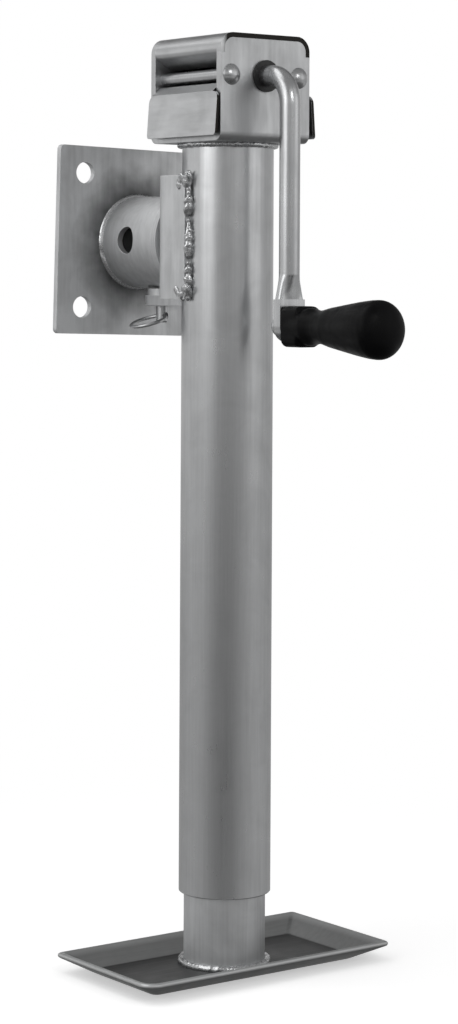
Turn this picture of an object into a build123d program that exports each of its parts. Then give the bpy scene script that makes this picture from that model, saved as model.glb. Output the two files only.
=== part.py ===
"""Side-wind swivel jack stand: a crank, a bevel pair and a screw push a tube and its foot out of a tube.

Millimetres. +Z is up and z = 0 is the underside of the foot. The tubes stand on the Z axis.
-Y is the crank's side, +Y the side of the square mounting plate, and X runs along the front plate.
"""
from build123d import *
from math import asin, atan2, cos, degrees, hypot, pi, radians, sin, sqrt
import os

# Tubes and foot
outer_tube_od = 57.2
outer_tube_wall = 2.8
outer_tube_bottom = 47.7
outer_tube_top = 512.8
inner_tube_od = 50.8
inner_tube_wall = 3.0
leg_travel = 381.0

foot_length = 184.4
foot_width = 99.7
foot_flat_length = 149.0
foot_flat_width = 62.0
foot_sheet = 3.4
foot_rise = 8.9
foot_corner = 6.0
foot_flat_corner = 8.0
foot_centre = (-2.2, 1.6)

# Gear housing: a bent channel with a front plate, a base and a back plate
housing_front = -38.1
housing_back = 35.0
housing_width = 68.4
housing_height = 62.8
housing_sheet = 4.4
housing_bend = 5.5
cover_sheet = 3.0
cover_side = 12.4
cover_corner = 9.5
cover_flange_reach = 12.5
cover_flange_drop = 7.3
cover_flange_bend = 4.2
skirt_sheet = 1.8
skirt_bottom = 515.8
skirt_top = 542.6
skirt_top_reach = 2.8
skirt_bottom_reach = 4.7
skirt_front = -38.5
skirt_back = 33.0
skirt_lip_rise = 5.3
skirt_lip_reach = 6.6
skirt_flange = 7.0
skirt_top_corner = 5.0
skirt_bottom_corner = 2.2
spacer_d = 8.0
spacer_end_d = 6.0
spacer_head_d = 13.0
spacer_head_rise = 3.6
spacer_x = 26.0

# Crank shaft and bevel pair
rod_d = 12.7
shaft_z = 553.0
pinion_teeth = 12
gear_teeth = 18
gear_module = 2.8
pressure_angle = 25.0
addendum_share = 0.8
dedendum_share = 1.0
face_width = 9.0
tooth_thinning = 0.20
space_overrun = 1.2
end_overrun = 2.0
gear_web = 4.2
gear_hub_d = 27.0
pinion_hub_d = 19.0
pinion_back_hub_d = 21.0
pinion_web = 0.8
pin_end_back = 0.5
pinion_nose = 8.6
roll_pin_d = 4.0
gear_pin_d = 5.0

# Bushings, washers and clips
running_gap = 0.06
end_gap = 0.1
bushing_wall = 2.1
bushing_flange_d = 19.6
bushing_flange = 1.5
washer_d = 24.0
washer_sheet = 1.5
clip_d = 17.0
clip_sheet = 1.2
clip_groove_depth = 1.0
shaft_tail = 2.0

# Screw, its thrust bearing and its nut
screw_d = 20.0
screw_tail = 2.0
screw_shoulder_d = 36.0
screw_shoulder = 6.0
gear_seat_d = 16.0
screw_top_below_shaft = 12.0
race_od = 40.0
race_sheet = 3.0
ball_d = 4.76
ball_circle_d = 31.0
ball_count = 12
cage_sheet = 1.2
screw_bush_wall = 2.0
screw_bush_flange_d = 30.0
screw_bush_flange = 2.0
nut_flange = 3.0
nut_length = 36.0
nut_to_shoulder = 1.0

# Crank arm and grip
arm_y = -62.5
arm_bend = 18.0
spade_top = 431.5
spade_full = 416.5
spade_width = 19.0
spade_sheet = 6.6
grip_z = 400.2
grip_pin_d = 9.5
grip_pin_head_d = 13.0
grip_pin_head = 5.5
grip_pin_dome = 4.5
grip_pin_end = -139.0
grip_snap_y = -133.0
grip_snap_depth = 0.7
grip_snap_width = 4.0
grip_start_gap = 0.5
grip_base_width = 19.6
grip_base_height = 24.8
grip_base_corner = 5.5
grip_base_length = 13.5
grip_neck_y = -97.0
grip_neck_r = 9.4
grip_bulb_y = -143.0
grip_bulb_r = 17.0
grip_end_y = -158.0

# Swivel: bracket and hub on the jack, drum and plate on the vehicle's side
pivot_z = 452.4
bracket_bottom = 416.0
bracket_top = 493.0
bracket_sheet = 4.0
bracket_bend = 8.0
bracket_arm_end = 1.0
thrust_washer_d = 65.0
thrust_washer_sheet = 4.9
drum_od = 59.0
drum_wall = 4.0
drum_start_gap = 0.1
hub_gap = 0.08
hub_wall = 5.0
hub_end_back = 0.8
plate_front = 97.0
plate_width = 125.0
plate_height = 121.0
plate_sheet = 4.0
plate_corner = 3.0
bolt_spacing = 86.4
bolt_hole_d = 13.8
plate_hole_room = 0.4
ring_sheet = 2.0
ring_reach = 2.0
ring_depth = 1.6
ring_mouth = 9.0
mount_turn = 1.4
lock_hole_d = 17.4
lock_hole_y = 70.0

# Lock pin and what carries it
lug_width = 22.0
lug_bottom = 411.5
lug_sheet = 6.5
barrel_od = 19.0
barrel_floor = 2.0
barrel_below_lug = 0.4
barrel_to_drum = 0.6
lock_pin_d = 14.0
lock_pin_gap = 0.45
lock_pin_head = 6.6
lock_stem_d = 8.0
lock_stem_below_ring = 4.4
lock_depth = 0.35
lock_spring_wire = 0.8
lock_spring_turns = 2.5
lock_spring_d = 11.0
pull_ring_r = 11.5
pull_ring_wire = 2.2
pull_ring_gap = 0.35
pull_ring_slope = 18.0
pull_ring_hole_d = 4.4

# Weld beads
tube_bead = 3.2
foot_bead = 3.8
drum_bead = 1.8
bracket_bead = 3.5
bracket_weld_back = 0.4
bracket_weld_belly = (2.4, 1.4)

# Worked out from the sizes above
outer_r = outer_tube_od / 2
inner_r = inner_tube_od / 2
housing_base = outer_tube_top
housing_floor = housing_base + housing_sheet
housing_top = housing_base + housing_height
cover_top = housing_top + cover_sheet
cover_foot = cover_top - cover_side
rebate_corner = cover_corner - cover_sheet
front_inside = housing_front + housing_sheet
back_inside = housing_back - housing_sheet
half_width = housing_width / 2
shaft_r = rod_d / 2
bushing_r = shaft_r + running_gap + bushing_wall
drum_r = drum_od / 2
drum_bore_r = drum_r - drum_wall
hub_r = drum_bore_r - hub_gap
bracket_back = outer_r + bracket_sheet
bracket_side = outer_r + bracket_sheet
drum_start = bracket_back + thrust_washer_sheet + drum_start_gap
plate_back = plate_front + plate_sheet
hub_end = plate_back - hub_end_back
ring_r = hub_r + ring_reach
plate_centre_hole_r = ring_r + plate_hole_room
ring_start = plate_front + end_gap * 3
lock_pin_tip = pivot_z - drum_r - lock_pin_gap
barrel_top = pivot_z - drum_r - barrel_to_drum
barrel_bottom = lug_bottom - barrel_below_lug
spring_seat = barrel_bottom + barrel_floor
lock_head_bottom = lock_pin_tip - lock_pin_head
lock_travel = lock_pin_gap + drum_wall + lock_depth
pull_ring_z = barrel_bottom - lock_travel - pull_ring_wire / 2 - pull_ring_gap
lock_stem_end = pull_ring_z - lock_stem_below_ring
bearing_top = housing_base
top_race_bottom = bearing_top - race_sheet
ball_z = top_race_bottom - ball_d / 2
bottom_race_top = top_race_bottom - ball_d - running_gap
bottom_race_bottom = bottom_race_top - race_sheet
shoulder_bottom = bottom_race_bottom - screw_shoulder
nut_top = shoulder_bottom - nut_to_shoulder
inner_tube_top = nut_top - nut_flange
nut_bottom = nut_top - nut_length
screw_end = nut_bottom - leg_travel - screw_tail
bush_flange_top = housing_floor + screw_bush_flange
gear_bottom = bush_flange_top + end_gap
screw_top = shaft_z - screw_top_below_shaft

# The bevel pair's cones, measured from the point where the shaft and the screw axes cross
pinion_pitch_r = pinion_teeth * gear_module / 2
gear_pitch_r = gear_teeth * gear_module / 2
cone_distance = hypot(pinion_pitch_r, gear_pitch_r)
addendum = addendum_share * gear_module
dedendum = dedendum_share * gear_module
toe_share = (cone_distance - face_width) / cone_distance


def along_y(y):
    """A plane across the Y axis at y, with X to the right and Z up. Its normal points to -Y."""
    return Plane(origin=(0, y, 0), x_dir=(1, 0, 0), z_dir=(0, -1, 0))


def mount_plane(y):
    """A plane across the swivel axis at y, turned with the mounting plate. Its normal points to +Y."""
    turn = radians(mount_turn)
    return Plane(origin=(0, y, pivot_z), x_dir=(cos(turn), 0, -sin(turn)), z_dir=(0, 1, 0))


def swivel_plane(y):
    """A plane across the swivel axis at y, square to the jack. Its normal points to +Y."""
    return Plane(origin=(0, y, pivot_z), x_dir=(1, 0, 0), z_dir=(0, 1, 0))


def shaft_plane(y):
    """A plane across the crank shaft at y. Its normal points to +Y."""
    return Plane(origin=(0, y, shaft_z), x_dir=(1, 0, 0), z_dir=(0, 1, 0))


def ring_at(plane, outer, inner, thickness):
    """A flat washer, race or sleeve: a ring of the two radii on a plane."""
    with BuildPart() as piece:
        with BuildSketch(plane):
            Circle(outer)
            Circle(inner, mode=Mode.SUBTRACT)
        extrude(amount=thickness)
    return piece.part


def bead_around(plane, radius, leg, height):
    """A fillet weld round a tube that stands on a face: a hollow-cheeked triangle, revolved."""
    section = Plane(origin=plane.origin, x_dir=plane.x_dir, z_dir=-plane.y_dir)
    with BuildPart() as piece:
        with BuildSketch(section):
            with BuildLine():
                Polyline((radius, height), (radius, 0), (radius + leg, 0))
                belly = (radius + leg * 0.56, height * 0.56)
                ThreePointArc((radius + leg, 0), belly, (radius, height))
            make_face()
        revolve(axis=Axis(plane.origin, plane.z_dir))
    return piece.part


def dome_middle(radius, rise):
    """The point halfway along a dome's profile, from its rim at (radius, 0) to its crown at (0, rise)."""
    ball_r = (radius**2 + rise**2) / (2 * rise)
    turn = asin(radius / ball_r) / 2
    return (ball_r * sin(turn), rise - ball_r * (1 - cos(turn)))


def write(piece, name):
    """Labels a finished piece and writes its STEP file."""
    piece.label = name
    export_step(piece, f"parts/{name}.step")


os.makedirs("parts", exist_ok=True)

# Outer tube, plain at its lower end
with BuildPart() as outer_tube:
    with BuildSketch(Plane.XY.offset(outer_tube_bottom)):
        Circle(outer_r)
        Circle(outer_r - outer_tube_wall, mode=Mode.SUBTRACT)
    extrude(amount=outer_tube_top - outer_tube_bottom)
    chamfer(outer_tube.edges().group_by(Axis.Z)[0], 0.5)
write(outer_tube.part, "outer_tube")

# Gear housing: one strip bent to a channel. The back plate stands as high as the cover, and the
# front plate's shoulders are cut back by the cover's sheet, so that the cover's edge shows flush
with BuildPart() as gear_housing:
    with BuildSketch(Plane.YZ.offset(-half_width)):
        with BuildLine():
            FilletPolyline(
                (housing_front, housing_top),
                (housing_front, housing_base),
                (housing_back, housing_base),
                (housing_back, cover_top),
                radius=housing_bend,
            )
            Line((housing_back, cover_top), (back_inside, cover_top))
            FilletPolyline(
                (back_inside, cover_top),
                (back_inside, housing_floor),
                (front_inside, housing_floor),
                (front_inside, housing_top),
                radius=housing_bend - housing_sheet,
            )
            Line((front_inside, housing_top), (housing_front, housing_top))
        make_face()
    extrude(amount=housing_width)
    with BuildSketch(along_y(housing_back)) as back_outline:
        with Locations((0, (housing_base + cover_top) / 2)):
            Rectangle(housing_width, cover_top - housing_base)
        fillet(back_outline.vertices().group_by(Axis.Y)[-1], cover_corner)
    extrude(amount=housing_back - housing_front, mode=Mode.INTERSECT)
    with BuildSketch(along_y(front_inside)) as shoulders:
        with Locations((0, (cover_foot + cover_top) / 2)):
            Rectangle(housing_width, cover_side)
        with Locations((0, (cover_foot + housing_top) / 2)):
            Rectangle(housing_width - 2 * cover_sheet, housing_top - cover_foot, mode=Mode.SUBTRACT)
        fillet(shoulders.vertices().group_by(Axis.Y)[1], rebate_corner)
    extrude(amount=housing_sheet, mode=Mode.SUBTRACT)
    with BuildSketch(along_y(housing_back)):
        with Locations((0, shaft_z)):
            Circle(bushing_r)
        with Locations((-spacer_x, shaft_z), (spacer_x, shaft_z)):
            Circle(spacer_end_d / 2)
    extrude(amount=housing_back - housing_front, mode=Mode.SUBTRACT)
    with BuildSketch(Plane.XY.offset(housing_base)):
        Circle(screw_d / 2 + running_gap + screw_bush_wall)
    extrude(amount=housing_sheet, mode=Mode.SUBTRACT)
write(gear_housing.part, "gear_housing")

# Top cover: a strap between the back plate and the front plate's rebate. Behind the front plate
# its sides are bent in to flanges that slope down towards the spacer rods
with BuildPart() as top_cover:
    flange_x = half_width - cover_flange_reach
    flange_z = cover_foot - cover_flange_drop
    with BuildSketch(along_y(back_inside)):
        with BuildLine():
            FilletPolyline(
                (-flange_x, flange_z),
                (-half_width, cover_foot),
                (-half_width, cover_top),
                (half_width, cover_top),
                (half_width, cover_foot),
                (flange_x, flange_z),
                radius=[cover_flange_bend, cover_corner, cover_corner, cover_flange_bend],
            )
            offset(amount=cover_sheet, side=Side.RIGHT)
        make_face()
    extrude(amount=back_inside - front_inside)
    with BuildSketch(along_y(front_inside)):
        with BuildLine():
            FilletPolyline(
                (-half_width, cover_foot),
                (-half_width, cover_top),
                (half_width, cover_top),
                (half_width, cover_foot),
                radius=cover_corner,
            )
            offset(amount=cover_sheet, side=Side.RIGHT)
        make_face()
    extrude(amount=housing_sheet)
write(top_cover.part, "top_cover")

# Side skirts: flared pressings with a lip bent in under the spacer rod and a flange on the base
with BuildPart() as left_skirt:
    wall_top = -(half_width + skirt_top_reach)
    wall_bottom = -(half_width + skirt_bottom_reach)
    with BuildSketch(along_y(skirt_back)):
        with BuildLine():
            Polyline(
                (wall_bottom, skirt_bottom),
                (wall_top, skirt_top),
                (wall_top + skirt_sheet, skirt_top),
                (wall_bottom + skirt_sheet, skirt_bottom),
                close=True,
            )
        make_face()
    extrude(amount=skirt_back - skirt_front)
    for group, corner in ((0, skirt_bottom_corner), (-1, skirt_top_corner)):
        corner_edges = left_skirt.edges().filter_by(lambda e: e.length < skirt_sheet * 1.2)
        fillet(corner_edges.group_by(Axis.Z)[group], corner)
    lip_room = 0.4
    inner_back = back_inside - lip_room
    inner_front = front_inside + lip_room
    lip_x = wall_top + skirt_lip_reach
    lip_z = skirt_top + skirt_lip_rise
    with BuildSketch(along_y(inner_back)):
        with BuildLine():
            Polyline(
                (wall_top, skirt_top - skirt_sheet),
                (wall_top, skirt_top),
                (lip_x, lip_z),
                (lip_x + skirt_sheet * 0.6, lip_z - skirt_sheet * 0.8),
                (wall_top + skirt_sheet, skirt_top - skirt_sheet * 0.6),
                (wall_top + skirt_sheet, skirt_top - skirt_sheet),
                close=True,
            )
        make_face()
    extrude(amount=inner_back - inner_front)
    flange_end = -half_width + skirt_flange
    floor_room = housing_bend - housing_sheet
    with BuildSketch(along_y(inner_back - floor_room)):
        with BuildLine():
            Polyline(
                (wall_bottom + skirt_sheet * 0.5, housing_floor),
                (flange_end, housing_floor),
                (flange_end, housing_floor + skirt_sheet),
                (wall_bottom + skirt_sheet * 0.5, housing_floor + skirt_sheet),
                close=True,
            )
        make_face()
    extrude(amount=inner_back - inner_front - 2 * floor_room)
write(left_skirt.part, "left_skirt")

with BuildPart() as right_skirt:
    mirror(left_skirt.part, about=Plane.YZ)
write(right_skirt.part, "right_skirt")

# Spacer rods: shouldered between the plates, riveted over with domed heads outside them
with BuildPart() as spacer_rod:
    with BuildSketch(Plane.XY):
        with BuildLine():
            head_r = spacer_head_d / 2
            end_r = spacer_end_d / 2
            dome_x, dome_y = dome_middle(head_r, spacer_head_rise)
            Line((0, housing_back + spacer_head_rise), (0, housing_front - spacer_head_rise))
            ThreePointArc(
                (0, housing_front - spacer_head_rise),
                (dome_x, housing_front - dome_y),
                (head_r, housing_front),
            )
            Polyline(
                (head_r, housing_front),
                (end_r, housing_front),
                (end_r, front_inside),
                (spacer_d / 2, front_inside),
                (spacer_d / 2, back_inside),
                (end_r, back_inside),
                (end_r, housing_back),
                (head_r, housing_back),
            )
            ThreePointArc(
                (head_r, housing_back),
                (dome_x, housing_back + dome_y),
                (0, housing_back + spacer_head_rise),
            )
        make_face()
    revolve(axis=Axis.Y)
with BuildPart() as spacer_rods:
    with Locations((-spacer_x, 0, shaft_z), (spacer_x, 0, shaft_z)):
        add(spacer_rod.part)
write(spacer_rods.part, "spacer_rods")

# Shaft bushings: flange outside the front plate, flange inside the back plate
with BuildPart() as front_bushing:
    with BuildSketch(shaft_plane(housing_front - bushing_flange)):
        Circle(bushing_flange_d / 2)
    extrude(amount=bushing_flange)
    with BuildSketch(shaft_plane(housing_front)):
        Circle(bushing_r)
    extrude(amount=housing_sheet)
    with BuildSketch(shaft_plane(housing_front - bushing_flange)):
        Circle(shaft_r + running_gap)
    extrude(amount=housing_sheet + bushing_flange, mode=Mode.SUBTRACT)
write(front_bushing.part, "front_bushing")

with BuildPart() as back_bushing:
    with BuildSketch(shaft_plane(back_inside - bushing_flange)):
        Circle(bushing_flange_d / 2)
    extrude(amount=bushing_flange)
    with BuildSketch(shaft_plane(back_inside)):
        Circle(bushing_r)
    extrude(amount=housing_sheet)
    with BuildSketch(shaft_plane(back_inside - bushing_flange)):
        Circle(shaft_r + running_gap)
    extrude(amount=housing_sheet + bushing_flange, mode=Mode.SUBTRACT)
write(back_bushing.part, "back_bushing")

# Screw bushing in the housing's base
with BuildPart() as screw_bushing:
    with BuildSketch(Plane.XY.offset(housing_base)):
        Circle(screw_d / 2 + running_gap + screw_bush_wall)
    extrude(amount=housing_sheet)
    with BuildSketch(Plane.XY.offset(housing_floor)):
        Circle(screw_bush_flange_d / 2)
    extrude(amount=screw_bush_flange)
    with BuildSketch(Plane.XY.offset(housing_base)):
        Circle(screw_d / 2 + running_gap)
    extrude(amount=housing_sheet + screw_bush_flange, mode=Mode.SUBTRACT)
write(screw_bushing.part, "screw_bushing")

# Thrust bearing under the base: a top race, caged balls and a race on the screw's shoulder
race_bore_r = screw_d / 2 + 0.5
write(ring_at(Plane.XY.offset(top_race_bottom), race_od / 2, race_bore_r, race_sheet), "bearing_top_race")

with BuildPart() as bearing_balls:
    with Locations((0, 0, ball_z)):
        with PolarLocations(ball_circle_d / 2, ball_count):
            Sphere(ball_d / 2)
write(bearing_balls.part, "bearing_balls")

with BuildPart() as bearing_cage:
    with BuildSketch(Plane.XY.offset(ball_z - cage_sheet / 2)):
        Circle(race_od / 2 - 0.6)
        Circle(race_bore_r + 0.4, mode=Mode.SUBTRACT)
        with PolarLocations(ball_circle_d / 2, ball_count):
            Circle(ball_d / 2 + running_gap, mode=Mode.SUBTRACT)
    extrude(amount=cage_sheet)
write(bearing_cage.part, "bearing_cage")

write(
    ring_at(Plane.XY.offset(bottom_race_bottom), race_od / 2, screw_d / 2, race_sheet),
    "bearing_bottom_race",
)

# Weld between the outer tube and the housing's base
tube_top_plane = Plane(origin=(0, 0, outer_tube_top), x_dir=(1, 0, 0), z_dir=(0, 0, -1))
write(bead_around(tube_top_plane, outer_r, tube_bead, tube_bead), "tube_weld")

# Lead screw: thread, thrust shoulder, journal and gear seat
with BuildPart() as lead_screw:
    with BuildSketch(Plane.XZ):
        with BuildLine():
            Polyline(
                (0, screw_end),
                (screw_d / 2 - 2, screw_end),
                (screw_d / 2, screw_end + 2),
                (screw_d / 2, shoulder_bottom),
                (screw_shoulder_d / 2, shoulder_bottom),
                (screw_shoulder_d / 2, bottom_race_bottom),
                (screw_d / 2, bottom_race_bottom),
                (screw_d / 2, gear_bottom),
                (gear_seat_d / 2, gear_bottom),
                (gear_seat_d / 2, screw_top),
                (0, screw_top),
                close=True,
            )
        make_face()
    revolve(axis=Axis.Z)
    with BuildSketch(Plane.XZ):
        with Locations((0, gear_bottom + gear_pin_d)):
            Circle(gear_pin_d / 2)
    extrude(amount=gear_seat_d, both=True, mode=Mode.SUBTRACT)
write(lead_screw.part, "lead_screw")


def involute_turn(base_r, r):
    """How far the involute has turned about the gear's centre at radius r, in radians."""
    if r <= base_r:
        return 0.0
    roll = sqrt((r / base_r) ** 2 - 1)
    return roll - atan2(roll, 1)


def tooth_space(pitch_r, cone_angle, apex_plane):
    """The room between two straight bevel teeth, which tapers to the cones' common point.

    It is drawn on the flat of the back cone, with flanks through three points of the involute.
    apex_plane stands at the common point, its z along the gear's axis and its x towards the space.
    """
    cone = radians(cone_angle)
    flat_r = pitch_r / cos(cone)
    base_r = flat_r * cos(radians(pressure_angle))
    root_r = flat_r - dedendum
    open_r = flat_r + addendum + space_overrun
    half_tooth = (pi * gear_module / 2 - tooth_thinning) / 2 / flat_r
    pitch_turn = involute_turn(base_r, flat_r)
    half_pitch_turn = pi * gear_module / flat_r / 2
    start_r = max(base_r, root_r)

    def flank(r):
        turn = half_pitch_turn - half_tooth - pitch_turn + involute_turn(base_r, r)
        return (r * sin(turn), r * cos(turn) - flat_r)

    root, lower, upper = flank(root_r), flank(start_r), flank(open_r)
    middle = flank((start_r + open_r) / 2)
    along = apex_plane.x_dir * sin(cone) + apex_plane.z_dir * cos(cone)
    outward = apex_plane.x_dir * cos(cone) - apex_plane.z_dir * sin(cone)
    with BuildPart() as space:
        for share in (1 + end_overrun / cone_distance, toe_share - end_overrun / cone_distance):
            centre = apex_plane.origin + along * cone_distance * share
            section = Plane(origin=centre, x_dir=outward.cross(along), z_dir=along)

            def place(point, side=1):
                return (point[0] * share * side, point[1] * share)

            with BuildSketch(section):
                with BuildLine():
                    Line(place(root, -1), place(root))
                    if root_r < base_r:
                        Line(place(root), place(lower))
                    ThreePointArc(place(lower), place(middle), place(upper))
                    Line(place(upper), place(upper, -1))
                    ThreePointArc(place(upper, -1), place(middle, -1), place(lower, -1))
                    if root_r < base_r:
                        Line(place(lower, -1), place(root, -1))
                make_face()
        loft(ruled=True)
    return space.part


def cone_points(pitch_r, axial, height):
    """Heel and toe points, as (radius, distance from the crossing), at a height above the pitch cone."""
    heel = (pitch_r + height * axial / cone_distance, axial - height * pitch_r / cone_distance)
    return heel, (heel[0] * toe_share, heel[1] * toe_share)


# Bevel gear on the screw, its teeth facing up, with a long hub that the cross pin goes through
gear_cone = degrees(atan2(gear_pitch_r, pinion_pitch_r))
gear_apex = Plane(origin=(0, 0, shaft_z), x_dir=(1, 0, 0), z_dir=(0, 0, -1))
gear_space = tooth_space(gear_pitch_r, gear_cone, gear_apex)
with BuildPart() as screw_gear:
    root_heel, root_toe = cone_points(gear_pitch_r, pinion_pitch_r, -dedendum)
    tip_heel, tip_toe = cone_points(gear_pitch_r, pinion_pitch_r, addendum)
    web_z = shaft_z - root_heel[1] - gear_web
    with BuildSketch(Plane.XZ):
        with BuildLine():
            Polyline(
                (gear_seat_d / 2, gear_bottom),
                (gear_hub_d / 2, gear_bottom),
                (gear_hub_d / 2, web_z),
                (root_heel[0] - gear_web * 0.55, web_z),
                (root_heel[0], shaft_z - root_heel[1]),
                (tip_heel[0], shaft_z - tip_heel[1]),
                (tip_toe[0], shaft_z - tip_toe[1]),
                (root_toe[0], shaft_z - root_toe[1]),
                (gear_seat_d / 2, shaft_z - root_toe[1]),
                close=True,
            )
        make_face()
    revolve(axis=Axis.Z)
    with PolarLocations(0, gear_teeth, start_angle=90):
        add(gear_space, mode=Mode.SUBTRACT)
    with BuildSketch(Plane.XZ):
        with Locations((0, gear_bottom + gear_pin_d)):
            Circle(gear_pin_d / 2)
    extrude(amount=gear_hub_d, both=True, mode=Mode.SUBTRACT)
write(screw_gear.part, "screw_gear")

with BuildPart() as gear_pin:
    with BuildSketch(Plane.XZ.offset(-gear_hub_d / 2 + pin_end_back)):
        with Locations((0, gear_bottom + gear_pin_d)):
            Circle(gear_pin_d / 2)
    extrude(amount=gear_hub_d - 2 * pin_end_back)
write(gear_pin.part, "gear_pin")

# Bevel pinion on the crank shaft, near the back plate, pinned through its nose
pinion_cone = degrees(atan2(pinion_pitch_r, gear_pitch_r))
pinion_apex = Plane(origin=(0, 0, shaft_z), x_dir=(0, 0, -1), z_dir=(0, 1, 0))
pinion_space = tooth_space(pinion_pitch_r, pinion_cone, pinion_apex)
shaft_axis = Axis((0, 0, shaft_z), (0, 1, 0))
with BuildPart() as pinion:
    root_heel, root_toe = cone_points(pinion_pitch_r, gear_pitch_r, -dedendum)
    tip_heel, tip_toe = cone_points(pinion_pitch_r, gear_pitch_r, addendum)
    pinion_back = back_inside - bushing_flange - end_gap
    pinion_front = root_toe[1] - pinion_nose
    with BuildSketch(Plane(origin=(0, 0, shaft_z), x_dir=(1, 0, 0), z_dir=(0, 0, 1))):
        with BuildLine():
            Polyline(
                (shaft_r, pinion_front),
                (pinion_hub_d / 2, pinion_front),
                (pinion_hub_d / 2, tip_toe[1]),
                tip_toe,
                tip_heel,
                root_heel,
                (pinion_back_hub_d / 2, root_heel[1] + pinion_web),
                (pinion_back_hub_d / 2, pinion_back),
                (shaft_r, pinion_back),
                close=True,
            )
        make_face()
    revolve(axis=shaft_axis)
    for number in range(pinion_teeth):
        turned_space = pinion_space.rotate(shaft_axis, (number + 0.5) * 360 / pinion_teeth)
        add(turned_space, mode=Mode.SUBTRACT)
    pinion_pin_y = pinion_front + pinion_nose * 0.42
    with BuildSketch(Plane.XY.offset(shaft_z)):
        with Locations((0, pinion_pin_y)):
            Circle(roll_pin_d / 2)
    extrude(amount=pinion_hub_d, both=True, mode=Mode.SUBTRACT)
write(pinion.part, "pinion")

with BuildPart() as pinion_pin:
    pin_length = pinion_hub_d - 2 * pin_end_back
    with BuildSketch(Plane.XY.offset(shaft_z - pin_length / 2)):
        with Locations((0, pinion_pin_y)):
            Circle(roll_pin_d / 2)
            Circle(roll_pin_d / 4, mode=Mode.SUBTRACT)
    extrude(amount=pin_length)
write(pinion_pin.part, "pinion_pin")

# Washer and spring clip that hold the shaft at the back plate
washer_y = housing_back + end_gap
clip_y = washer_y + washer_sheet + end_gap
shaft_end = clip_y + clip_sheet + shaft_tail
write(ring_at(shaft_plane(washer_y), washer_d / 2, shaft_r + 0.01, washer_sheet), "shaft_washer")

with BuildPart() as shaft_clip:
    clip_r = shaft_r - clip_groove_depth
    with BuildSketch(shaft_plane(clip_y)):
        Circle(clip_d / 2)
        Circle(clip_r, mode=Mode.SUBTRACT)
        with Locations((0, clip_d / 2)):
            Rectangle(clip_r * 1.2, clip_d, mode=Mode.SUBTRACT)
    extrude(amount=clip_sheet)
write(shaft_clip.part, "shaft_clip")

# Crank handle: one bar, bent once and forged flat at its lower end for the grip's pin
with BuildPart() as crank_handle:
    with BuildLine() as crank_line:
        FilletPolyline(
            (0, shaft_end, shaft_z),
            (0, arm_y, shaft_z),
            (0, arm_y, spade_top),
            radius=arm_bend,
        )
    with BuildSketch(shaft_plane(shaft_end)):
        Circle(shaft_r)
    sweep(path=crank_line.wires()[0])
    with BuildSketch(Plane(origin=(0, arm_y, spade_top), x_dir=(1, 0, 0), z_dir=(0, 0, -1))):
        Circle(shaft_r)
    with BuildSketch(Plane(origin=(0, arm_y, spade_full), x_dir=(1, 0, 0), z_dir=(0, 0, -1))):
        RectangleRounded(spade_width, spade_sheet, spade_sheet * 0.42)
    loft()
    with BuildSketch(along_y(arm_y + spade_sheet / 2)):
        with Locations((0, grip_z)):
            Circle(spade_width / 2)
        with Locations((0, (grip_z + spade_full) / 2)):
            Rectangle(spade_width, spade_full - grip_z)
    extrude(amount=spade_sheet)
    with BuildSketch(along_y(arm_y + spade_sheet / 2)):
        with Locations((0, grip_z)):
            Circle(grip_pin_d / 2)
    extrude(amount=spade_sheet, mode=Mode.SUBTRACT)
    with BuildSketch(shaft_plane(clip_y)):
        Circle(shaft_r)
        Circle(shaft_r - clip_groove_depth, mode=Mode.SUBTRACT)
    extrude(amount=clip_sheet, mode=Mode.SUBTRACT)
    with BuildSketch(Plane.XY.offset(shaft_z)):
        with Locations((0, pinion_pin_y)):
            Circle(roll_pin_d / 2)
    extrude(amount=rod_d, both=True, mode=Mode.SUBTRACT)
    chamfer(crank_handle.edges().group_by(Axis.Y)[-1], 0.8)
write(crank_handle.part, "crank_handle")

# Grip pin: domed head behind the spade, a groove near its end that the grip snaps into
spade_back = arm_y + spade_sheet / 2
spade_front = arm_y - spade_sheet / 2
grip_axis = Axis((0, 0, grip_z), (0, 1, 0))
grip_section = Plane(origin=(0, 0, grip_z), x_dir=(1, 0, 0), z_dir=(0, 0, 1))
with BuildPart() as grip_pin:
    pin_r = grip_pin_d / 2
    head_r = grip_pin_head_d / 2
    neck_r = pin_r - grip_snap_depth
    dome_x, dome_y = dome_middle(head_r, grip_pin_dome)
    with BuildSketch(grip_section):
        with BuildLine():
            ThreePointArc(
                (0, spade_back + grip_pin_head + grip_pin_dome),
                (dome_x, spade_back + grip_pin_head + dome_y),
                (head_r, spade_back + grip_pin_head),
            )
            Polyline(
                (head_r, spade_back + grip_pin_head),
                (head_r, spade_back),
                (pin_r, spade_back),
                (pin_r, grip_snap_y + grip_snap_width / 2),
                (neck_r, grip_snap_y + grip_snap_width / 2),
                (neck_r, grip_snap_y - grip_snap_width / 2),
                (pin_r, grip_snap_y - grip_snap_width / 2),
                (pin_r, grip_pin_end + 1),
                (pin_r - 1, grip_pin_end),
                (0, grip_pin_end),
                (0, spade_back + grip_pin_head + grip_pin_dome),
            )
        make_face()
    revolve(axis=grip_axis)
write(grip_pin.part, "grip_pin")

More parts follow.
